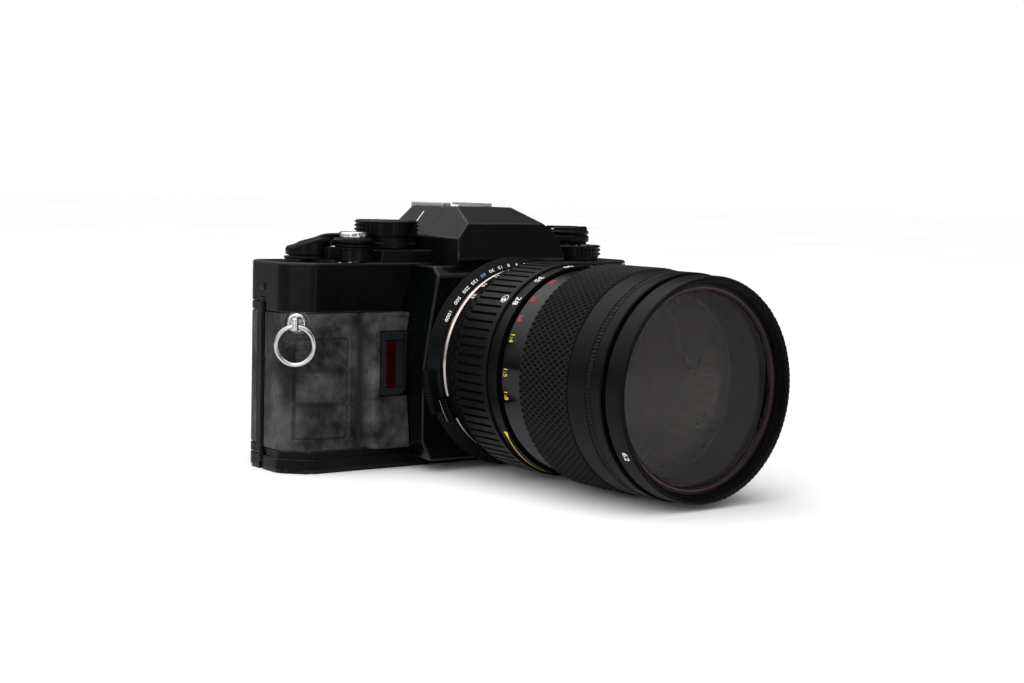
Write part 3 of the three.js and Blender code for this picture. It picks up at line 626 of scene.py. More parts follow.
def hood_points(i=0.0):
    return both_sides([
        (11.1 - i, -9.3 + i, 83.4 - i), (11.1 - i, 16.3 - i, 83.4 - i), (11.1 - i, 19.3 - i, 81.2 - i),
        (15.4 - i, -21.8 + i, 78.3 - i), (20.3 - i, -23.8 + i, 73.6 - i), (21.4 - i, -25.5 + i, 67),
        (20.3 - i, -24.4 + i, 65.6), (20.3 - i, 19.3 - i, 73.6 - i), (20.3 - i, 19.3 - i, 53),
        (20.3 - i, -22.5 + i, 65.2), (20.3 - i, -11 + i, 53),
    ])


def lens_disc(r, rear, front):
    return turned([(0, front), (r, front), (r, rear), (0, rear)], soft=0)


def lug_stand(side):
    """The upright frame of the left (-1) or right (1) corner facet, at the base."""
    x = LEFT + LUG_IN if side < 0 else RIGHT - LUG_IN
    return Matrix.Translation((x, FRONT + LUG_BACK, 0)) @ Matrix.Rotation(side * FACET, 4, "Z")


def lug_hole(side):
    """The round hole in a rubber covering that a strap lug's washer sits in."""
    lay = Matrix.Translation((0, 0, LUG_Z)) @ Matrix.Rotation(math.pi / 2, 4, "X")
    return moved(disc(upright(0, 0), 3.8, -4, 6, 0, 48), lug_stand(side) @ lay)


# ---------------------------------------------------------------- camera, light and floor
# the photograph's camera: azimuth, elevation and roll in degrees, its place, and its lens
CAMERA_TURN = -36.949, 4.950, 1.384
CAMERA_PLACE = -340.92, -479.354, 89.535
FOCAL_MM, SENSOR_MM = 61.915, 36.0
FLOOR_RADIUS, FLOOR_DROP = 9000, 0.1
# metres in the frame: the two narrow softboxes stand this far off, with their middles this high
SOFTBOX_AWAY, SOFTBOX_HIGH, SOFTBOX_SIZE = 0.6, 0.21, (0.05, 0.4)
SHADE, KEY = 0.23, 2.1  # soft light of the world on its dark and its bright side


def set_stage():
    azimuth, elevation, roll = (math.radians(a) for a in CAMERA_TURN)
    level = math.cos(elevation)
    back = Vector((math.sin(azimuth) * level, -math.cos(azimuth) * level, math.sin(elevation)))
    flat_right = Vector((math.cos(azimuth), math.sin(azimuth), 0))
    flat_up = back.cross(flat_right)
    right = math.cos(roll) * flat_right + math.sin(roll) * flat_up
    up = math.cos(roll) * flat_up - math.sin(roll) * flat_right
    camera = bpy.data.objects.new("photo_camera", bpy.data.cameras.new("photo_camera"))
    camera.data.sensor_width = SENSOR_MM
    camera.data.lens = FOCAL_MM
    camera.data.clip_start = 0.01
    turn_matrix = Matrix((right, up, back)).transposed().to_4x4()
    camera.matrix_world = Matrix.Translation(LAYOUT @ Vector(CAMERA_PLACE)) @ turn_matrix
    bpy.context.scene.collection.objects.link(camera)
    bpy.context.scene.camera = camera

    floor = new_shape()
    bmesh.ops.create_circle(floor, cap_ends=True, radius=FLOOR_RADIUS, segments=48)
    bmesh.ops.translate(floor, verts=floor.verts[:], vec=(0, 0, -FLOOR_DROP))
    s = Shader("pale_floor")
    s.value(Specular_IOR_Level=0.15)
    s.colour(s.blend(s.span(s.noise(3.0), 0.3, 0.7), (0.86, 0.86, 0.855), (0.90, 0.90, 0.895)))
    s.roughness(s.span(s.noise(8.0), 0.3, 0.7, 0.75, 0.9))
    floor.transform(LAYOUT)
    mesh = bpy.data.meshes.new("floor")
    floor.to_mesh(mesh)
    floor.free()
    mesh.materials.append(s.material)
    ground = bpy.data.objects.new("floor", mesh)
    bpy.context.scene.collection.objects.link(ground)

    world = bpy.data.worlds.new("studio")
    bpy.context.scene.world = world
    world.use_nodes = True
    nodes, links = world.node_tree.nodes, world.node_tree.links
    background = nodes["Background"]
    # the camera sees plain white; soft light falls mostly from the upper left, and gloss sees a dim room
    # with a lit ceiling and a grey wall to the right of the lens
    place = nodes.new("ShaderNodeTexCoord").outputs["Generated"]

    def lobe(direction, start, end, low, high):
        dot = nodes.new("ShaderNodeVectorMath")
        dot.operation = "DOT_PRODUCT"
        links.new(place, dot.inputs[0])
        dot.inputs[1].default_value = Vector(direction).normalized()
        span = nodes.new("ShaderNodeMapRange")
        span.interpolation_type = "SMOOTHSTEP"
        for key, number in (("From Min", start), ("From Max", end), ("To Min", low), ("To Max", high)):
            span.inputs[key].default_value = number
        links.new(dot.outputs["Value"], span.inputs["Value"])
        return span.outputs["Result"]

    def total(first, second):
        node = nodes.new("ShaderNodeMath")
        links.new(first, node.inputs[0])
        links.new(second, node.inputs[1])
        return node.outputs["Value"]

    def choose(switch, first, second):
        node = nodes.new("ShaderNodeMix")
        links.new(switch, node.inputs["Factor"])
        for socket, source in ((node.inputs["A"], first), (node.inputs["B"], second)):
            if isinstance(source, float):
                socket.default_value = source
            else:
                links.new(source, socket)
        return node.outputs["Result"]

    soft = lobe((-0.62, -0.30, 0.72), 0.1, 1.0, SHADE, KEY)
    ceiling = lobe((-0.35, 0.1, 0.93), 0.25, 0.9, 0.05, 2.6)
    wall = lobe((0.60, -0.79, 0.05), 0.70, 0.97, 0.0, 0.4)
    gloss = total(ceiling, wall)
    path = nodes.new("ShaderNodeLightPath").outputs
    strength = choose(path["Is Glossy Ray"], choose(path["Is Camera Ray"], soft, 1.0), gloss)
    links.new(strength, background.inputs["Strength"])
    background.inputs["Color"].default_value = (1.0, 1.0, 1.0, 1.0)

    def softbox(name, position, aim, size, watts):
        light = bpy.data.objects.new(name, bpy.data.lights.new(name, "AREA"))
        light.data.shape = "RECTANGLE"
        light.data.size, light.data.size_y = size
        light.data.energy = watts
        light.location = position
        light.rotation_euler = (Vector(aim) - light.location).to_track_quat("-Z", "Y").to_euler()
        light.visible_camera = False
        bpy.context.scene.collection.objects.link(light)

    for name, degrees, watts in (("softbox_left", 209, 0.32), ("softbox_right", 264, 0.35)):
        angle = math.radians(degrees)
        place = (SOFTBOX_AWAY * math.cos(angle), SOFTBOX_AWAY * math.sin(angle), SOFTBOX_HIGH)
        softbox(name, place, (0, 0, SOFTBOX_HIGH), SOFTBOX_SIZE, watts)
    softbox("softbox_top", (0, 0.35, 1.2), (0, 0, 0.04), (0.9, 0.7), 4.0)
    bpy.context.scene.view_settings.view_transform = "Standard"
    bpy.context.scene.view_settings.look = "None"


# ---------------------------------------------------------------- body shells
def eyepiece_hole():
    return box((-7.6, 7.6), (15.3, 21.3), (61.2, 71.4))


def build_top_cover():
    shell = prism(body_outline(), COVER_LOW, TOP, 0.25, 0.9)
    x0, x1, y0, y1, top = -41.3, -18, FRONT + 0.3, 14, 69.4
    platform = hull([
        (x0, y0, TOP - 0.5), (x0, y1, TOP - 0.5), (x0 + 1.2, y0 + 0.6, top), (x0 + 1.2, y1 - 0.6, top),
        (x1, y0 + 0.6, top), (x1, y1 - 0.6, top), (x1, y0, TOP - 0.5), (x1, y1, TOP - 0.5),
    ], 0.5)
    whole = combine(shell, "UNION", platform, hull(hood_points(), 0.45))
    rod = lambda x, y, r, low, high: disc(upright(x, y), r, low, high, 0, 40)
    whole = combine(
        whole, "DIFFERENCE",
        prism(body_outline(1.3), COVER_LOW - 1, TOP - 1.3), hull(hood_points(1.3)),
        box((-19, 19), (-11, 18), (COVER_LOW - 1, 56)), housing_hull(GAP),
        box((LEFT - 1, RIGHT + 1), (DOOR_FRONT - 3.4, 20.3), (COVER_LOW - 1, DOOR_HIGH + GAP)),
        eyepiece_hole(), box((-10.5, 10.5), (0.1, 20.3), (80.6, 90)),
        rod(*ADVANCE, 2.6, 60, 70), rod(*BUTTON, 3.2, 60, 75), rod(*FILM_DIAL, 3.2, 60, 75),
        rod(*REWIND, 4.4, 60, 70),
        rod(-73, 6.4, 1.2, 50, 54.3),
    )
    make("top_cover_shell", whole, "camera_body", "satin_black", PAINT, PAINT_EDGE, stands_for=("top_cover",),
         crease=24)
    marks = new_shape()
    index = Vector((-13.0, 6.9, 81.5)), Vector((-16.1, 6.5, 78.2))
    along = (index[1] - index[0]).normalized()
    across = Vector((0, 1, 0))
    out = across.cross(along) * -1 if across.cross(along).x > 0 else across.cross(along)
    frame_of = Matrix((along, across, out)).transposed().to_4x4()
    middle = (index[0] + index[1]) / 2
    half = (index[1] - index[0]).length / 2
    merge(marks, moved(box((-half, half), (-0.22, 0.22), (-0.04, 0.05)),
                       Matrix.Translation(middle) @ frame_of))
    merge(marks, box((31.8, 32.8), (-7.6, -2.6), (TOP - 0.02, TOP + 0.05)))
    make("cover_index_marks", marks, "camera_body", "satin_black", WHITE_INK)
    for word, place, turn_to in (
        ("left_end", (LEFT - 0.05, 6.2, 57.6), Matrix.Rotation(-math.pi / 2, 4, "Y")),
        ("right_end", (RIGHT + 0.05, 6.2, 57.6), Matrix.Rotation(math.pi / 2, 4, "Y")),
        ("hood_left", (-20.35, -15.6, 66.4), Matrix.Rotation(-math.pi / 2, 4, "Y")),
        ("hood_right", (20.35, -15.6, 66.4), Matrix.Rotation(math.pi / 2, 4, "Y")),
    ):
        make("cover_screw_" + word, moved(screw(1.25, 0.35), Matrix.Translation(place) @ turn_to),
             "camera_body",
             "satin_black", BLACK_METAL)


def build_housing():
    bay = box((-19, 19), (-24, 0), (17.5, 51.8))
    brow = hull(both_sides([(40, HOUSING_FRONT - 1, 62.6), (40, HOUSING_FRONT + 4.6, 66),
                            (40, HOUSING_FRONT - 1, 66)]))
    whole = combine(housing_hull(0, 0.7), "DIFFERENCE", bay, lens_disc(24.2, -20, -30), brow,
                    box((-22.4, 22.4), (-20.6, 0), (51.5, 70)))
    make("front_housing_shell", whole, "camera_body", "gloss_black", GLOSSY, GLOSSY_EDGE,
         stands_for=("front_housing",), crease=24)


def build_bottom():
    whole = combine(prism(body_outline(), 0, 4.4, 1.2, 0.25), "UNION",
                    prism(body_outline(0.6), 4, 6.6, 0, 0.2))
    hole = lambda x, y, r, high=3: disc(upright(x, y), r, -1, high, 0, 48)
    whole = combine(
        whole, "DIFFERENCE", prism(body_outline(1.3), 1.3, 8),
        box((LEFT - 1, RIGHT + 1), (DOOR_FRONT - 3.2, BACK + 1), (4.4, 8)), housing_hull(GAP),
        hole(0, 2, 6.3), hole(22.5, 0, 8), hole(-36, 8.2, 2.9), hole(-73, 6.4, 1.2, 8),
    )
    make("bottom_cover_shell", whole, "camera_body", "satin_black", PAINT, PAINT_EDGE,
         stands_for=("bottom_cover",), crease=24)
    flip = Matrix.Rotation(math.pi, 4, "X")
    heads = new_shape()
    for x, y in ((-60, -5), (-60, 12), (52, -5), (52, 12), (-20, 12)):
        merge(heads, moved(screw(1.6, 0.4), Matrix.Translation((x, y, 0.42)) @ flip))
    make("bottom_screws", heads, "camera_body", "satin_black", BLACK_METAL)
    thread = [(6, 0.05), (6, 7), (3.2, 7)]
    for i in range(9, 0, -1):
        thread += [(3.2, 0.7 * i), (3.45, 0.7 * i - 0.35)]
    thread += [(3.2, 0.3), (3.5, 0.05)]
    make("tripod_bush_threaded", turned(thread, upright(0, 2), even(64), soft=0), "camera_body", "steel",
         STEEL,
         stands_for=("tripod_bush",))
    cap = combine(
        turned([(0, 0.05), (7.1, 0.05), (7.7, 0.5), (7.7, 2.4), (0, 2.4)], upright(22.5, 0), even(72)),
        "DIFFERENCE",
        box((17.5, 27.5), (-0.9, 0.9), (-1, 0.9)))
    make("battery_cap_turned", cap, "camera_body", "satin_black", BLACK_METAL, stands_for=("battery_cap",))
    make("rewind_release_turned", turned([(0, 0.4), (2.5, 0.4), (2.5, 5), (0, 5)], upright(-36, 8.2),
                                         even(48), soft=0.35),
         "rewind_release", "steel", STEEL, stands_for=("rewind_release_button",))


# ---------------------------------------------------------------- rubber coverings
def body_path(points, step=0.35, radius=2.5):
    """Points every step along an open line whose corners are eased, with the outward normal at each."""
    eased = [Vector(points[0])]
    for before, corner, after in zip(points, points[1:], points[2:]):
        eased += eased_corner(before, corner, after, radius, 6, 0.48)
    eased.append(Vector(points[-1]))
    out, carried, length = [], 0.0, 0.0
    for a, b in zip(eased, eased[1:]):
        reach = (b - a).length
        while carried <= reach + 1e-9 and reach > 0:
            out.append((length + carried, a.lerp(b, carried / reach)))
            carried += step
        carried -= reach
        length += reach
    last = out[-1][1]
    if (eased[-1] - last).length > step * 0.3:
        out.append((length, eased[-1]))
    normals = []
    for i in range(len(out)):
        t = out[min(i + 1, len(out) - 1)][1] - out[max(i - 1, 0)][1]
        normals.append(Vector((t.y, -t.x)).normalized())
    return [(s, p, n) for (s, p), n in zip(out, normals)]


def skin(path, low, high, thick, relief, step=0.35):
    """A moulded covering: a fine outer surface raised by relief(s, z), on a plain back."""
    shape = new_shape()
    rows = max(2, round((high - low) / step))
    outer, inner = [], []
    for s, p, n in path:
        column = []
        for i in range(rows + 1):
            z = low + (high - low) * i / rows
            d = relief(s, z)
            column.append(shape.verts.new((p.x + n.x * d, p.y + n.y * d, z)))
        outer.append(column)
        inner.append([shape.verts.new((p.x - n.x * thick, p.y - n.y * thick, z)) for z in (low, high)])
    for a, b, c, d in zip(outer, outer[1:], inner, inner[1:]):
        for i in range(rows):
            shape.faces.new((a[i], b[i], b[i + 1], a[i + 1]))
        shape.faces.new((c[0], c[1], d[1], d[0]))
        shape.faces.new((a[0], c[0], d[0], b[0]))
        shape.faces.new((a[-1], b[-1], d[1], c[1]))
    for column, edge in ((outer[0], inner[0]), (outer[-1], inner[-1])):
        shape.faces.new([*column, edge[1], edge[0]])
    return shape


def ease(value, start, end):
    t = min(1.0, max(0.0, (value - start) / (end - start)))
    return t * t * (3 - 2 * t)


def edge_roll(value, low, high, radius=0.7):
    """How far a moulded edge rolls in near its ends."""
    near = min(value - low, high - value)
    if near >= radius:
        return 0.0
    return radius - math.sqrt(max(0.0, radius ** 2 - (radius - near) ** 2))


def frame_line(s, z, s0, s1, z0, z1, corner=1.0):
    """Signed distance to a rounded rectangle, for engraved lines."""
    qx = abs(s - (s0 + s1) / 2) - (s1 - s0) / 2 + corner
    qz = abs(z - (z0 + z1) / 2) - (z1 - z0) / 2 + corner
    return math.hypot(max(qx, 0.0), max(qz, 0.0)) + min(max(qx, qz), 0.0) - corner


# depth of a covering behind the body's face, and the point spacing of a plain one
COVERING_BACK, PLAIN_STEP = 1.15, 0.6
GRIP_END = -31.0  # x where the front coverings meet the housing


def build_rubber():
    low, high = 6.9, 49.9
    points = [(LEFT, 4.8), (LEFT, FRONT + CORNER_DEEP), (LEFT + CORNER_IN, FRONT + CORNER_MID),
              (LEFT + CORNER_WIDE, FRONT), (GRIP_END, FRONT)]
    path = body_path(points)
    corner_s = path[-1][0] - (GRIP_END - (LEFT + CORNER_WIDE))
    x_of = lambda s: LEFT + CORNER_WIDE + (s - corner_s)
    lug_s = corner_s - 5.2
    panels = [(corner_s - 5.7, corner_s + 12.6, z0, z1) for z0,
              z1 in ((32.6, 41.9), (21.8, 31.8), (10.7, 21.1))]

    def relief(s, z):
        x = x_of(s)
        # the finger rest swells past a soft crease, whose top bends towards the lug
        bend = 1.6 * ease(z, 44, 49.5) + 0.9 * ease(z, 12, 7)
        swell = 4.45 * ease(x, -48.6 + bend, -45.4 + bend * 1.6)
        hollow = -0.75 * ease(x, -52.5, -48.8) * (1 - ease(x, -48.8, -47.2))
        lip = 0.0 if x > -50 else 0.35 * ease(z, 46.6, 48.6) * ease(x, -66, -60)
        dent = 0.0
        for s0, s1, z0, z1 in panels:
            d = frame_line(s, z, s0, s1, z0, z1)
            groove, shoulder = math.exp(-(d / 0.34) ** 2), math.exp(-((d - 0.8) / 0.45) ** 2)
            dent += 0.42 * groove + 0.12 * ease(-d, 0.0, 0.8) - 0.14 * shoulder
        scoop = 0.5 * (1 - ease(math.hypot(s - lug_s, z - LUG_Z), 3.8, 8.5))
        roll = edge_roll(z, low, high)
        return max(-0.95, min(4.5, swell) + hollow + lip - dent - scoop - roll - 0.02)

    def grip_wear_and_shade(v):
        """Painted shade in the crease, the engraved panel lines and under the top cover's edge, and a painted
        highlight along the finger rest's ridge; rubbed pale on flats, with rub arcs dark and light under the
        strap ring.
        """
        x, z = v.x, v.z
        if v.y < FRONT + 1.5 or x > -60:
            across = corner_s + (x - LEFT - CORNER_WIDE)
        else:
            across = lug_s - (v.y + 8) * 1.1
        # painted shade: darker along the soft crease before the finger rest
        crease_painted_shade = math.exp(-((x + 48.3) / 0.85) ** 2)
        # painted shade: darker in the engraved panel lines
        lines = sum(math.exp(-(frame_line(across, z, *panel) / 0.35) ** 2) for panel in panels)
        swing = math.hypot(across - lug_s, z - LUG_Z)
        arcs = 0.5 + 0.5 * math.sin(4.2 * swing) if 6 < swing < 13 and z < 44 else 0.5
        patch = math.exp(-((across - lug_s + 2.0) / 2.2) ** 2 - ((z - 26) / 6.5) ** 2)
        lower = 0.55 * math.exp(-((z - 20.3) / 2.2) ** 2) * ease(across, corner_s - 4.5, corner_s - 2)
        lower *= 1 - ease(across, corner_s + 7, corner_s + 10)
        # painted shade: darker in a band just under the top cover's edge
        under_cover_painted_shade = 0.45 * (1 - ease(abs(z - 47.2), 0.0, 2.2)) * ease(x, -58, -54) * (1 - ease(x, -49, -47))
        # painted highlight: lighter along the finger rest's ridge
        ridge = 0.35 * math.exp(-((x + 45.4) / 1.3) ** 2)
        level = 0.86 + 0.5 * (arcs - 0.5) + ridge - 0.9 * crease_painted_shade - 0.45 * min(1.0, lines)
        level = level - 0.85 * patch - lower - under_cover_painted_shade
        return min(1.2, max(0.05, level))

    whole = skin(path, low, high, COVERING_BACK, relief)
    pocket = box((-43.9, -29), (-20, FRONT - 0.5), (23.5, 44.3))
    whole = combine(whole, "DIFFERENCE", housing_hull(GAP), pocket, lug_hole(-1))
    make("grip_covering", whole, "camera_body", "grip_rubber", GRIP, GRIP, stands_for=("grip_rubber",),
         crease=50,
         tone=grip_wear_and_shade)

    points = [(-GRIP_END, FRONT), (RIGHT - CORNER_WIDE, FRONT), (RIGHT - CORNER_IN, FRONT + CORNER_MID),
              (RIGHT, FRONT + CORNER_DEEP), (RIGHT, DOOR_FRONT - 2.1)]
    plain = lambda s, z: -edge_roll(z, low, high) - 0.02
    sheet = skin(body_path(points, PLAIN_STEP), low, high, COVERING_BACK, plain, PLAIN_STEP)
    whole = combine(sheet, "DIFFERENCE", housing_hull(GAP), lug_hole(1))
    make("front_covering", whole, "camera_body", "grip_rubber", GRIP, GRIP, stands_for=("front_rubber",),
         crease=50,
         tone=lambda v: 0.75)


def build_lamp():
    x0, x1, z0, z1, front = -43.6, -34.2, 23.8, 44.0, -17.0
    frame_piece = combine(
        box((x0, x1 - 1.1), (front, FRONT - 0.9), (z0, z1), 0.7, 3), "DIFFERENCE",
        box((x0 + 1.2, x1 - 1.5), (front - 1, front + 1.9), (26.3, 41.5)), housing_hull(GAP))
    fin = hull([(x1 - 1.2, FRONT - 2.0, z0 + 0.2), (x1 - 1.2, FRONT - 2.0, z1 - 0.1),
                (x1 - 1.2, front + 0.2, z0 + 1),
                (x1 - 1.2, front + 0.2, z1 - 0.1), (x1 + 0.1, front + 0.3, z1 - 0.1),
                (x1 - 0.3, front + 0.3, z0 + 1.4),
                (x1, FRONT - 2.0, z1 - 0.1), (x1, FRONT - 2.0, z0 + 0.2)], 0.18)
    refinish(fin, 1)
    make("lamp_bezel", merge(frame_piece, combine(fin, "DIFFERENCE", housing_hull(GAP))), "camera_body",
         "matt_black",
         LAMP_GREY, MATT, stands_for=("led_bezel",), crease=30)
    red = box((x0 + 1.35, x0 + 4.9), (front - 0.1, front + 1.6), (26.6, 41.2), 0.25)
    strip = box((x0 + 5.0, x1 - 1.6), (front + 0.5, front + 1.6), (26.6, 41.2), 0.15)
    make("lamp_window", merge(refinish(red, 0), refinish(strip, 1)), "camera_body", "red_window", LAMP_RED,
         LAMP_GREY,
         stands_for=("led_window",))


def build_lugs():
    eye_y, eye_z = -2.3, LUG_Z - 1.0
    for side, word in ((-1, "left"), (1, "right")):
        stand = lug_stand(side)
        lay = Matrix.Translation((0, 0, LUG_Z)) @ Matrix.Rotation(math.pi / 2, 4, "X")
        washer = turned([(0, -1.3), (3, -1.3), (3, 0.45), (2.6, 0.8), (2.2, 0.8), (2.0, 0.62), (0, 0.62)],
                        upright(0, 0), even(56), soft=0.12)
        eye = combine(box((-1.1, 1.1), (-3.7, 0.2), (44.3, 48.7), 0.9, 4), "DIFFERENCE",
                      moved(disc(upright(0, 0), 1.05, -3, 3, 0, 32),
                            Matrix.Translation((0, eye_y, eye_z)) @ Matrix.Rotation(math.pi / 2, 4, "Y")))
        lug = merge(moved(washer, lay), eye)
        make("strap_lug_" + word, refinish(moved(lug, stand), 0), "camera_body", "chrome", CHROME,
             stands_for=("strap_lug_" + word,))
        coils = new_shape()
        for offset, start in ((-0.33, 0.0), (0.33, 0.35)):
            ring = [(5.9 + 0.64 * math.cos(t), offset + 0.34 * math.sin(t)) for t in even(16)]
            turn(coils, ring, upright(0, 0), even(72, start))
        upright_ring = Matrix.Translation((0, eye_y, eye_z - 5.85)) @ Matrix.Rotation(math.pi / 2, 4, "X")
        make("split_ring_" + word, moved(coils, stand @ upright_ring), "ring_" + word, "chrome", CHROME,
             stands_for=("split_ring_" + word,))


# ---------------------------------------------------------------- film door and back
def build_door():
    body = combine(
        prism(body_outline(), DOOR_LOW, DOOR_HIGH, 0.4, 0.4), "DIFFERENCE",
        box((LEFT - 1, RIGHT + 1), (FRONT - 1, DOOR_FRONT), (0, 60)),
        prism(body_outline(1.5), 0, DOOR_HIGH + 1), box((31, 56), (13.8, BACK + 1), (26, 42)))
    seat = combine(prism(body_outline(-1), 7.4, COVER_LOW), "DIFFERENCE", prism(body_outline(0.8), 0, 60),
                   box((LEFT - 2, RIGHT + 2), (FRONT - 3, DOOR_FRONT + 2), (0, 60)))
    make("film_door_shell", combine(body, "DIFFERENCE", seat), "door", "satin_black", PAINT, PAINT_EDGE,
         stands_for=("film_door",), crease=30)
    low, high = 7.7, 49.9
    arc_steps = [i * math.pi / 2 / 8 for i in range(9)]
    points = [(RIGHT, DOOR_FRONT + 2.3)]
    points += [(RIGHT - 5 + 5 * math.cos(a), BACK - 5 + 5 * math.sin(a)) for a in arc_steps]
    points += [(LEFT + 5 + 5 * math.cos(a + math.pi / 2),
                BACK - 5 + 5 * math.sin(a + math.pi / 2)) for a in arc_steps]
    points.append((LEFT, DOOR_FRONT + 2.3))
    cover = skin(body_path(points, 0.7, 0.4), low, high, 0.48, lambda s,
                 z: -edge_roll(z, low, high, 0.4) - 0.02, 0.7)
    cover = combine(cover, "DIFFERENCE", box((30.2, 56.8), (10, BACK + 1), (25.2, 42.8)))
    make("door_covering", cover, "door", "grip_rubber", GRIP, GRIP, stands_for=("door_rubber",), crease=50,
         tone=lambda v: 0.7 + 0.25 * ease(abs(v.x), 40, 66))
    pin = merge(disc(upright(-73, 6.4), 0.9, 2.4, 54), tube(upright(-73, 6.4), 0.85, 0.9, 2.6, 53))
    make("hinge_pin", pin, "camera_body", "steel", BLACK_METAL, stands_for=("door_hinge_pin",))


def build_eyepiece():
    outer = hull(both_sides([(10.5, 19.6, 58.4), (10.5, 19.6, 73), (9, 22.1, 59.8), (9, 22.1, 71.6)]), 0.7, 3)
    whole = combine(outer, "DIFFERENCE", box((-6.6, 6.6), (18, 24), (61.6, 70.6)),
                    hull(both_sides([(6.6, 20.6, 61.6), (6.6, 20.6, 70.6), (7.7, 22.6, 60.5),
                                     (7.7, 22.6, 71.7)])))
    make("eyepiece_surround", whole, "camera_body", "matt_black", MATT, MATT, stands_for=("eyepiece_frame",),
         crease=30)


def build_shoe():
    half, front, top, floor, back = 10.2, 0.4, 84.5, 81.7, 19.0
    channel = combine(
        box((-half, half), (front, back), (floor - 0.8, top), 0.3, 3), "DIFFERENCE",
        box((-half + 0.85, half - 0.85), (front + 0.9, back + 1.8), (floor, top - 0.75)),
        box((-6.8, 6.8), (front + 0.9, back + 3), (floor, top + 1)),
        box((-6.8, 6.8), (front - 1, back), (floor + 0.9, top + 1)),
        disc(upright(0, 9), 3.4, floor - 2, top, 0, 48))
    make("accessory_shoe", channel, "camera_body", "steel", SHOE_METAL, SHOE_METAL, stands_for=("hot_shoe",),
         crease=30)
    pad = tube(upright(0, 9), 1.3, 3.3, floor - 0.8, floor - 0.05)
    make("shoe_insulator", pad, "camera_body", "matt_black", MATT)
    make("shoe_contact_turned", disc(upright(0, 9), 1.1, floor - 0.9, floor + 0.3), "camera_body", "brass",
         BRASS,
         stands_for=("shoe_contact",))


# ---------------------------------------------------------------- top controls
def build_advance():
    cx, cy = ADVANCE
    lean = math.radians(27)
    outline = []
    for t in (i / 10 for i in range(11)):
        outline.append((23 * t, -4.5 + 2 * t * t - 1.0 * t * (1 - t)))
    outline += [(23 + 2.5 * math.sin(a), -2.5 * math.cos(a)) for a in (i * math.pi / 10 for i in range(1,
                                                                                                       10))]
    for t in (i / 10 for i in range(11)):
        outline.append((23 * (1 - t), 2.5 + 2 * t * t - 1.6 * t * (1 - t)))
    blade = prism(outline, 70.1, 73.9, 0.3, 0.8, 4, worn=False)
    place = Matrix.Translation((cx, cy, 0)) @ Matrix.Rotation(lean, 4, "Z")
    hub = turned([(0, 67.3), (7.1, 67.3), (7.2, 68), (7.2, 72.2), (6.6, 73.1), (0, 73.6)], upright(0, 0),
                 even(96), soft=0.5)
    whole = combine(hub, "UNION", blade)
    for v in whole.verts:
        if v.co.z > 69:
            tilt = 1 - ease(0.44 * v.co.x - 0.9 * v.co.y, -7.5, 7.5)
            v.co.z -= 3.0 * tilt * (1 - ease(v.co.x, 7, 15)) * ease(v.co.z, 68.5, 72)
    base = turned([(0, 66.0), (7.6, 66.0), (7.6, 66.9), (0, 66.9)], upright(0, 0), even(80), soft=0.3)
    neck = disc(upright(0, 0), 6.2, 66.8, 67.5, 0.1)
    shaft = disc(upright(0, 0), 2.2, 57, 66.1)
    whole = moved(merge(whole, base, neck, shaft), place)
    make("advance_lever_moulding", whole, "lever", "satin_black", PAINT, PAINT_EDGE,
         stands_for=("advance_lever",), crease=32)


def build_shutter_controls():
    place = upright(*BUTTON)
    button = [(0, 62), (2.6, 62), (2.6, 72.3), (4.7, 72.4), (4.8, 74.0), (4.6, 74.7), (4.1, 75.0),
              (2.8, 74.6), (0, 74.3)]
    make("shutter_button_turned", turned(button, place, even(96), soft=0.25), "release", "chrome", CHROME,
         stands_for=("shutter_button",))
    collar = [(3.1, 65.8), (6, 65.8), (6, 69.2), (6.4, 69.4), (6.4, 69.9), (5.85, 70.05), (5.85, 70.25),
              (6.5, 70.4), (6.5, 70.9),
              (5.7, 71.1), (5.7, 71.3), (6.7, 71.5), (6.85, 72.3), (6.3, 73), (5.15, 73), (5.15, 70.5),
              (3.1, 70.5)]
    whole = turned(collar, place, even(112), soft=0.12)
    tab = box((-10, -5.4), (-1.7, 1.7), (66.2, 70.2), 0.45, 3, worn=False)
    ribs = [box((-10.05, -8.4), (y - 0.16, y + 0.16), (66.7, 69.8), 0.1, worn=False) for y in (-1.25, -0.75,
                                                                                               -0.25, 0.25,
                                                                                               0.75, 1.25)]
    ribs += [box((x - 0.16, x + 0.16), (-1.8, 1.8), (66.6, 70.25), 0.1, worn=False) for x in (-9.2, -8.6,
                                                                                              -8.0, -7.4,
                                                                                              -6.8)]
    tab = merge(tab, *ribs)
    merge(whole, moved(tab, Matrix.Translation((*BUTTON, 0))))
    make("power_lever_moulding", whole, "power_switch", "satin_black", PAINT, stands_for=("power_lever",))
    marks = new_shape()
    for dx in (-8.2, -4.6):
        merge(marks, moved(disc(upright(0, 0), 0.45, 0, 0.05, 0),
                           Matrix.Translation((BUTTON[0] + dx, BUTTON[1] - 5.3, TOP - 0.01))))
    make("power_marks", marks, "camera_body", "satin_black", WHITE_INK)

    cx, cy = FILM_DIAL
    place = upright(cx, cy)
    dial = [(0, 62), (2.8, 62), (2.8, 69.7), (9.9, 69.7), (9.9, 71.2), (9.5, 71.35), (9.4, 71.6), (9.4, 73.2),
            (9.9, 73.5),
            (9.9, 77.7), (10.4, 77.75), (10.35, 78.1), (9.6, 78.6), (8.6, 78.6), (8.3, 78.35), (4.6, 78.35),
            (4.2, 78.55), (0, 78.6)]
    whole = turned(dial, place, even(128), soft=0.12)
    merge(whole, studs(cx, cy, 9.75, (74.2, 75.5, 76.8), 38, 1.05, 0.85, 0.62))
    make("film_dial_turned", whole, "speed_dial", "satin_black", PAINT, stands_for=("film_speed_dial",))
    speeds = zip(("25", "50", "100", "200", "400", "800", "1600", "3200"), range(0, 360, 45))
    make("film_dial_numbers", dial_letters(list(speeds), 1.9, cx, cy, 6.4, 78.36), "speed_dial",
         "satin_black", WHITE_INK)


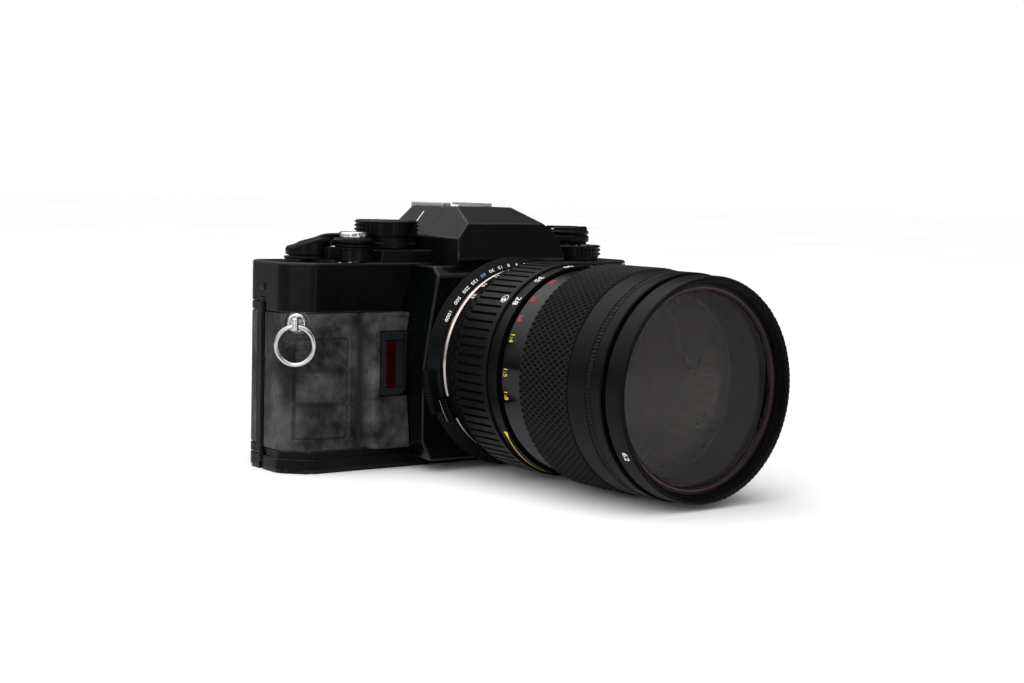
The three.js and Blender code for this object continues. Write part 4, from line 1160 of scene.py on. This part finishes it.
def build_rewind():
    cx, cy = REWIND
    place = upright(cx, cy)
    ring = [(4.2, 65.8), (11.4, 65.8), (11.4, 66.7), (11.7, 66.9), (11.7, 70.0), (12.2, 70.05), (12.1, 70.45),
            (11.6, 70.7), (4.2, 70.7)]
    whole = turned(ring, place, even(128), soft=0.12)
    merge(whole, studs(cx, cy, 11.55, (67.7, 69.1), 44, 1.1, 0.9, 0.62))
    make("mode_ring_turned", whole, "mode_selector", "satin_black", PAINT, stands_for=("mode_ring",))
    marks = merge(box((cx - 0.2, cx + 0.2), (cy - 11.3, cy - 8.9), (70.69, 70.74)),
                  box((cx - 3.4, cx - 3.1), (cy - 10.7, cy - 9.4), (70.69, 70.74)),
                  box((cx + 3.1, cx + 3.4), (cy - 10.7, cy - 9.4), (70.69, 70.74)))
    make("mode_ring_marks", marks, "mode_selector", "satin_black", WHITE_INK)
    knob = [(0, 71), (7.2, 71), (7.2, 71.6), (7.9, 71.8), (8, 72.4), (8, 73.6), (7.8, 73.9), (7.45, 74.05),
            (7.45, 74.35), (7.8, 74.5),
            (8, 74.8), (8, 75.3), (7.6, 75.5), (7.4, 75.8), (7.4, 76.5), (6.9, 77.1), (0, 77.1)]
    knurl = lambda r, a, h: r - (0.14 if math.sin(56 * a) < -0.2 and r > 7.9 and 72.3 < h < 73.7 else 0.0)
    whole = combine(turned(knob, place, even(224), knurl, soft=0.1), "DIFFERENCE",
                    box((cx - 8.5, cx + 8.5), (cy - 2, cy + 2), (75.1, 78)), disc(place, 2.1, 70, 74.5, 0))
    make("rewind_knob_turned", whole, "rewind_top", "satin_black", PAINT, PAINT, stands_for=("rewind_knob",))
    arm = box((cx - 6, cx + 6.4), (cy - 1.7, cy + 1.7), (75.6, 76.4), 0.3, 3)
    handle = turned([(0, 76.3), (1.6, 76.3), (1.6, 76.8), (1.4, 77.0), (0, 77.0)], upright(cx + 5, cy),
                    even(48), soft=0.15)
    make("rewind_crank_folding", refinish(merge(arm, handle), 0), "crank", "steel", STEEL,
         stands_for=("rewind_crank",))


# ---------------------------------------------------------------- lens
def knurled(above, pitch, depth, share=0.0):
    """A relief of fine teeth every pitch degrees, on radii over above."""
    wave = lambda a: math.sin(math.degrees(a) * 2 * math.pi / pitch)
    return lambda r, a, h: r - (depth if r > above and wave(a) > share else 0.0)


def notch(angle, centre, spread):
    off = (math.degrees(angle) - centre + 180) % 360 - 180
    return abs(off) < spread / 2


def build_mount():
    profile = [(29.4, -26.6), (33.6, -26.6), (33.6, -27.2), (30.5, -29.7), (29.4, -29.7)]
    ring = turned(profile, soft=0.15, angles=even(180))
    tab = arc([(30, -26.8), (36, -26.8), (36, -28.2), (35, -29.1), (30, -29.1)], 194, 24,
              relief=knurled(33, 1.6, 0.45), soft=0.2, steps=90)
    make("speed_ring_moulding", merge(ring, tab), "speed_ring", "gloss_black", PAINT,
         stands_for=("shutter_speed_ring",))
    fast = [("1000", 150.5), ("500", 140), ("250", 131.5), ("125", 124)]
    slow = [("30", 110.5), ("15", 104), ("8", 98), ("4", 92), ("2", 86), ("1", 80), ("B", 74)]
    make("speed_numbers", ring_letters(fast + slow, 1.4, 31.35, -29.05, 1.24, 1.45), "speed_ring",
         "gloss_black", WHITE_INK)
    make("sync_number", ring_letters([("60", 117)], 1.4, 31.35, -29.05, 1.24, 1.45), "speed_ring",
         "gloss_black", BLUE_INK)
    flange = turned([(23.6, -26.6), (29.1, -26.6), (29.1, -29.7), (23.6, -29.7)], soft=0.2)
    make("mount_flange_turned", flange, "camera_body", "chrome", CHROME, stands_for=("lens_mount_flange",))
    heads = new_shape()
    for degrees in (45, 135, 225, 315):
        place = Matrix.Translation(along_lens(26.4, math.radians(degrees),
                                              -29.68)) @ Matrix.Rotation(math.pi / 2, 4, "X")
        merge(heads, moved(screw(1.2, 0.12), place))
    make("mount_screws", heads, "camera_body", "chrome", STEEL)


def build_lens_rear():
    pockets = lambda r, a, h: min(r, 26.4) if notch(a, 206, 15) or notch(a, -26, 15) else r
    angles = sorted(a % (2 * math.pi) for a in even(200) + [
        math.radians(c + s * 7.5 + e) for c in (206, -26) for s in (-1, 1) for e in (-0.01, 0.01)])
    profile = [(17, -26), (22.8, -26), (22.8, -29.8), (30.1, -29.8), (30.3, -30.3), (30.3, -31.3),
               (29.9, -31.7), (29.9, -32.5), (17, -32.5)]
    base = turn(new_shape(), softened(profile, 0.3), along_lens, angles, pockets)
    make("lens_base_turned", base, "lens", "chrome", WARM_CHROME, stands_for=("lens_base",))
    for name, middle, body, node in (("lens_release_tab", 206, "lens_catch", "lens_release_button"),
                                     ("preview_tab", -26, "preview_catch", "depth_preview_button")):
        tab = arc([(28.2, -29.9), (32.3, -29.9), (32.6, -30.3), (32.6, -32.3), (31.8, -32.6), (28.2, -32.6)],
                  middle, 13,
                  relief=knurled(32, 1.5, 0.3, 0.2), soft=0.15, steps=52)
        trim = arc([(32.2, -29.85), (32.75, -29.85), (32.75, -30.25), (32.2, -30.25)], middle, 13, soft=0.08)
        make(name, merge(tab, refinish(trim, 1)), body, "satin_black", PAINT, CHROME, stands_for=(node,))


def build_aperture():
    profile = [(28.8, -32.8), (30.4, -32.8), (30.8, -33.3), (30.8, -36), (30.3, -36.3), (30.3, -38.6),
               (30.1, -39), (30.1, -39.8), (28.8, -39.8)]
    ring = turned(profile, soft=0.12, angles=even(180))
    for i in range(60):
        middle = 6 * i + 3
        merge(ring, arc([(30.1, -36.2), (31, -36.2), (31, -38.1), (30.5, -38.9), (30.1, -38.9)], middle, 3.7,
                        soft=0.15, steps=3))
    make("aperture_ring_ribbed", ring, "aperture", "satin_black", PAINT, stands_for=("aperture_ring",))
    stops = list(zip(("22", "16", "11", "8", "5.6", "4"), (135, 125, 115, 105, 95, 85)))
    make("aperture_numbers", ring_letters(stops, 2.0, 30.83, -34.6), "aperture", "satin_black", WHITE_INK)


def build_zoom():
    ribs, groove_mm = 76, 1.1
    pitch = 2 * math.pi / ribs
    angles = [pitch * (i + f) for i in range(ribs) for f in (0.0, 0.05, 0.27, 0.33, 0.62, 0.94)]
    stations = [-41.9, -42.3, -48.5, -54.9, -55.3]

    def grooves(r, a, h):
        if r < 32 or h > -42.1 or h < -55.1:
            return r
        part = (a / pitch) % 1.0
        return r - (groove_mm if 0.02 < part < 0.29 else 0.0)

    outer = [(33.1, y) for y in stations]
    profile = [(31, -40.1), (31.5, -40.1), (31.6, -40.3), (32.9, -41.2), (33.05, -41.5), *outer,
               (33.1, -56.7), (32.8, -57.0), (31, -57.0)]
    grip = turn(new_shape(), profile, along_lens, angles, grooves)
    make("zoom_grip_ribbed", grip, "zoom", "lens_rubber", ZOOM_RUBBER, stands_for=("zoom_grip_rubber",),
         crease=30)
    place = Matrix.Translation(along_lens(33.0, math.radians(137.5),
                                          -54.4)) @ Matrix.Rotation(math.radians(137.5 - 90), 4,
                                                                    "Y").inverted()
    mark = turned([(0, -0.3), (1.5, -0.3), (1.5, 0.12), (1.2, 0.12), (1.1, 0.0), (0.6, 0.0), (0.5, 0.1),
                   (0, 0.1)], upright(0, 0), even(40), soft=0.06)
    make("zoom_mark_stud", moved(mark, place), "zoom", "satin_black", STEEL)
    scale = turned([(28.8, -40.1), (30.7, -40.1), (30.7, -57.3), (32.4, -57.3), (32.4, -61.8), (28.8, -61.8)],
                   soft=0.25)
    make("zoom_scale_turned", scale, "zoom", "satin_black", LENS_PAINT, stands_for=("zoom_scale_ring",))
    items = [("28", 137.2), ("35", 118.8), ("50", 98), ("70", 80), ("85", 68)]
    make("zoom_numbers", ring_letters(items, 3.3, 32.43, -59.6), "zoom", "satin_black", WHITE_INK)
    band = new_shape()
    steps = 26
    rows = []
    for i in range(steps + 1):
        t = i / steps
        angle = math.radians(212 + 40 * t)
        y = -60.6 + 3.0 * t
        width = 0.18 + (0.75 * (1 - t * 9) if t < 0.11 else 0.0)
        rows.append([along_lens(r, angle, y + w) for r,
                     w in ((32.36, -width), (32.46, -width), (32.46, width), (32.36, width))])
    rings = [[band.verts.new(p) for p in row] for row in rows]
    for a, b in zip(rings, rings[1:]):
        for i in range(4):
            band.faces.new((a[i], a[(i + 1) % 4], b[(i + 1) % 4], b[i]))
    band.faces.new(rings[0])
    band.faces.new(rings[-1][::-1])
    make("macro_arrow", band, "zoom", "satin_black", YELLOW_INK)


def build_scale_tube():
    profile = [(28.8, -62.1), (30.3, -62.1), (30.3, -62.9), (31.5, -63.3), (31.5, -85), (30.4, -85),
               (30.4, -66.1), (28.8, -66.1)]
    make("scale_tube_turned", turned(profile, soft=0.15, angles=even(180)), "lens", "gloss_black", TUBE,
         stands_for=("distance_scale_tube",))
    make("scale_red_numbers", ring_letters([("35", 133.5), ("28", 146.8), ("50", 118)], 2.4, 31.53, -65.0),
         "lens", "gloss_black", RED_INK)
    ratios = [("1:4", 158.5), ("1:5", 177.5), ("1:8", 190)]
    make("scale_yellow_numbers", ring_letters(ratios, 2.5, 31.53, -65.0), "lens", "gloss_black", YELLOW_INK)


def blacken(shape, here):
    """Gives the second finish to the faces whose corners all lie at radii that pass the test."""
    for face in shape.faces:
        if all(here(math.hypot(v.co.x, v.co.z - LENS_Z)) for v in face.verts):
            face.material_index = 1


def build_focus():
    cells, length, start = 104, 22.0, -73.7
    angles = even(cells * 8)
    rows, axial = 60, 2.93
    floor_r, ridge_mm = 32.75, 0.85

    def diamonds(r, a, h):
        if r < 33:
            return r
        u = a / (2 * math.pi) * cells
        v = (h - start) / axial
        ridge = min(abs((u + v) % 1.0 - 0.5), abs((u - v) % 1.0 - 0.5)) * 2
        near = min(start - h, h - (start - length))
        return floor_r + ridge_mm * min(1.0, max(0.0, 1.15 - ridge * 2.3)) * min(1.0, max(0.15, near / 0.4))

    outer = [(33.6, start - length * i / rows) for i in range(rows + 1)]
    grip = turn(new_shape(), [(32.6, start), *outer, (32.6, start - length)], along_lens, angles, diamonds)
    make("focus_grip_diamond", grip, "focus", "lens_rubber", LENS_RUBBER, stands_for=("focus_grip_rubber",),
         crease=30,
         # the tone marks the raised diamond crests, which the material paints lighter as a highlight
         tone=lambda v: ease(math.hypot(v.x, v.z - LENS_Z), 33.0, 33.6))

    fine, milled_low, milled_high = 190, -106.3, -104.3

    def band(r, a, h):
        milled = r > 32.9 and milled_low < h < milled_high
        return r - (0.16 if milled and math.sin(fine * a) > 0 else 0.0)

    barrel = [(31.8, -73.7), (32.3, -73.7), (32.3, -96), (32.7, -96.1), (33, -96.3), (33, -103.9),
              (32.8, -104.05), (33, -104.2),
              (33, -104.32), (33, -106.28), (33, -106.4), (32.8, -106.55), (33, -106.7), (33, -110.3),
              (32.7, -110.6), (31, -110.6),
              (31, -111.7), (29.4, -111.7), (29.4, -111.4), (27, -111.4), (27, -96), (31.8, -96)]
    shell = turn(new_shape(), barrel, along_lens, even(fine * 4), band)
    blacken(shell, lambda radius: radius < 31.9)
    make("front_barrel_turned", shell, "focus", "satin_black", LENS_PAINT, LENS_BLACK,
         stands_for=("front_barrel",), crease=35)
    edge, dome = 26.6, 4.2
    front = [(0, -101), (edge, -102.5), (edge, -105.6)]
    front += [(r, -105.6 - dome * (1 - (r / edge) ** 2)) for r in (24, 21, 18, 15, 12, 9, 6, 3)] + [(0,
                                                                                                     -109.8)]
    element = turned(front, angles=even(128), soft=0)
    blacken(element, lambda radius: radius > 26.5)
    make("front_element_ground", element, "focus", "coated_glass", FRONT_GLASS, LENS_BLACK,
         stands_for=("front_element",))
    edge, steps_in = 24.6, (20, 15, 10, 5)
    back = [(edge, -58.6), (edge, -51.4)]
    back += [(r, -51.4 - 1.0 * (1 - (r / edge) ** 2)) for r in steps_in] + [(0, -52.4)]
    face_side = [(0, -59.8)] + [(r, -58.6 - 1.2 * (1 - (r / edge) ** 2)) for r in steps_in[::-1]]
    make("zoom_element_ground", turned(face_side + back, angles=even(96), soft=0), "variator", "clear_glass",
         INNER_GLASS, stands_for=("zoom_element",))

    profile = [(28.9, -112), (32.1, -112), (32.5, -112.4), (32.5, -118.4), (32.4, -118.85), (32.1, -119.1),
               (31.4, -119.1)]
    for i in range(7):
        profile += [(31.25, -118.8 + 0.5 * i), (30.8, -118.55 + 0.5 * i)]
    profile += [(30.7, -115.2), (30.2, -115.1), (30.1, -114.6), (28.9, -114.5)]

    def rim(r, a, h):
        milled = r > 31.9 and not -118.6 <= h <= -112.3
        return r - (0.14 if milled and math.sin(120 * a) > 0 else 0.0)

    make("filter_ring_threaded", turn(new_shape(), profile, along_lens, even(480), rim), "focus",
         "satin_black", LENS_PAINT,
         stands_for=("filter_ring",), crease=35)
    retainer = turned([(28.1, -114.4), (30.05, -114.4), (30.05, -115.2), (28.6, -115.2), (28.1, -114.8)],
                      soft=0.08)
    red_line = tube(along_lens, 28.75, 29.15, -115.26, -115.18, 0.03, 128)
    make("filter_retainer", merge(refinish(retainer, 0), refinish(red_line, 1)), "focus", "satin_black",
         BLACK_METAL, DULL_RED)
    pane = turned([(0, -112.6), (28.6, -112.6), (28.6, -114.3), (0, -114.3)], angles=even(128), soft=0.15)
    make("filter_pane", pane, "focus", "filter_glass", FILTER_GLASS, stands_for=("filter_glass",))
    make("filter_size_number", ring_letters([("62", 212)], 3.0, 32.53, -115.9), "focus", "satin_black",
         WHITE_INK)


# ---------------------------------------------------------------- CAD nodes that keep their shape
def finish_frame():
    keep = {
        "body_casting": CASTING, "battery_cells": STEEL, "focusing_screen": CLEAR_PLASTIC,
        "pentaprism": INNER_GLASS,
        "shutter_curtain": CLOTH, "eyepiece_glass": INNER_GLASS, "film_window": CLEAR_PLASTIC,
        "pressure_plate": MATT,
        "pressure_spring": STEEL, "take_up_spool": MATT, "sprocket": STEEL, "rewind_shaft": STEEL,
        "rewind_fork": STEEL,
        "reflex_mirror": SILVERED, "rear_element": INNER_GLASS, "lens_barrel": LENS_BLACK,
        "iris_diaphragm": BLACK_METAL,
        "helicoid_sleeve": BRASS,
    }
    for name, finish in keep.items():
        for slot in NODES[name].material_slots:
            slot.material = finish


for step in (
    set_stage, build_top_cover, build_housing, build_bottom, build_rubber, build_lamp, build_lugs,
    build_door, build_eyepiece, build_shoe, build_advance, build_shutter_controls, build_rewind, build_mount,
    build_lens_rear, build_aperture, build_zoom, build_scale_tube, build_focus, finish_frame,
):
    step()
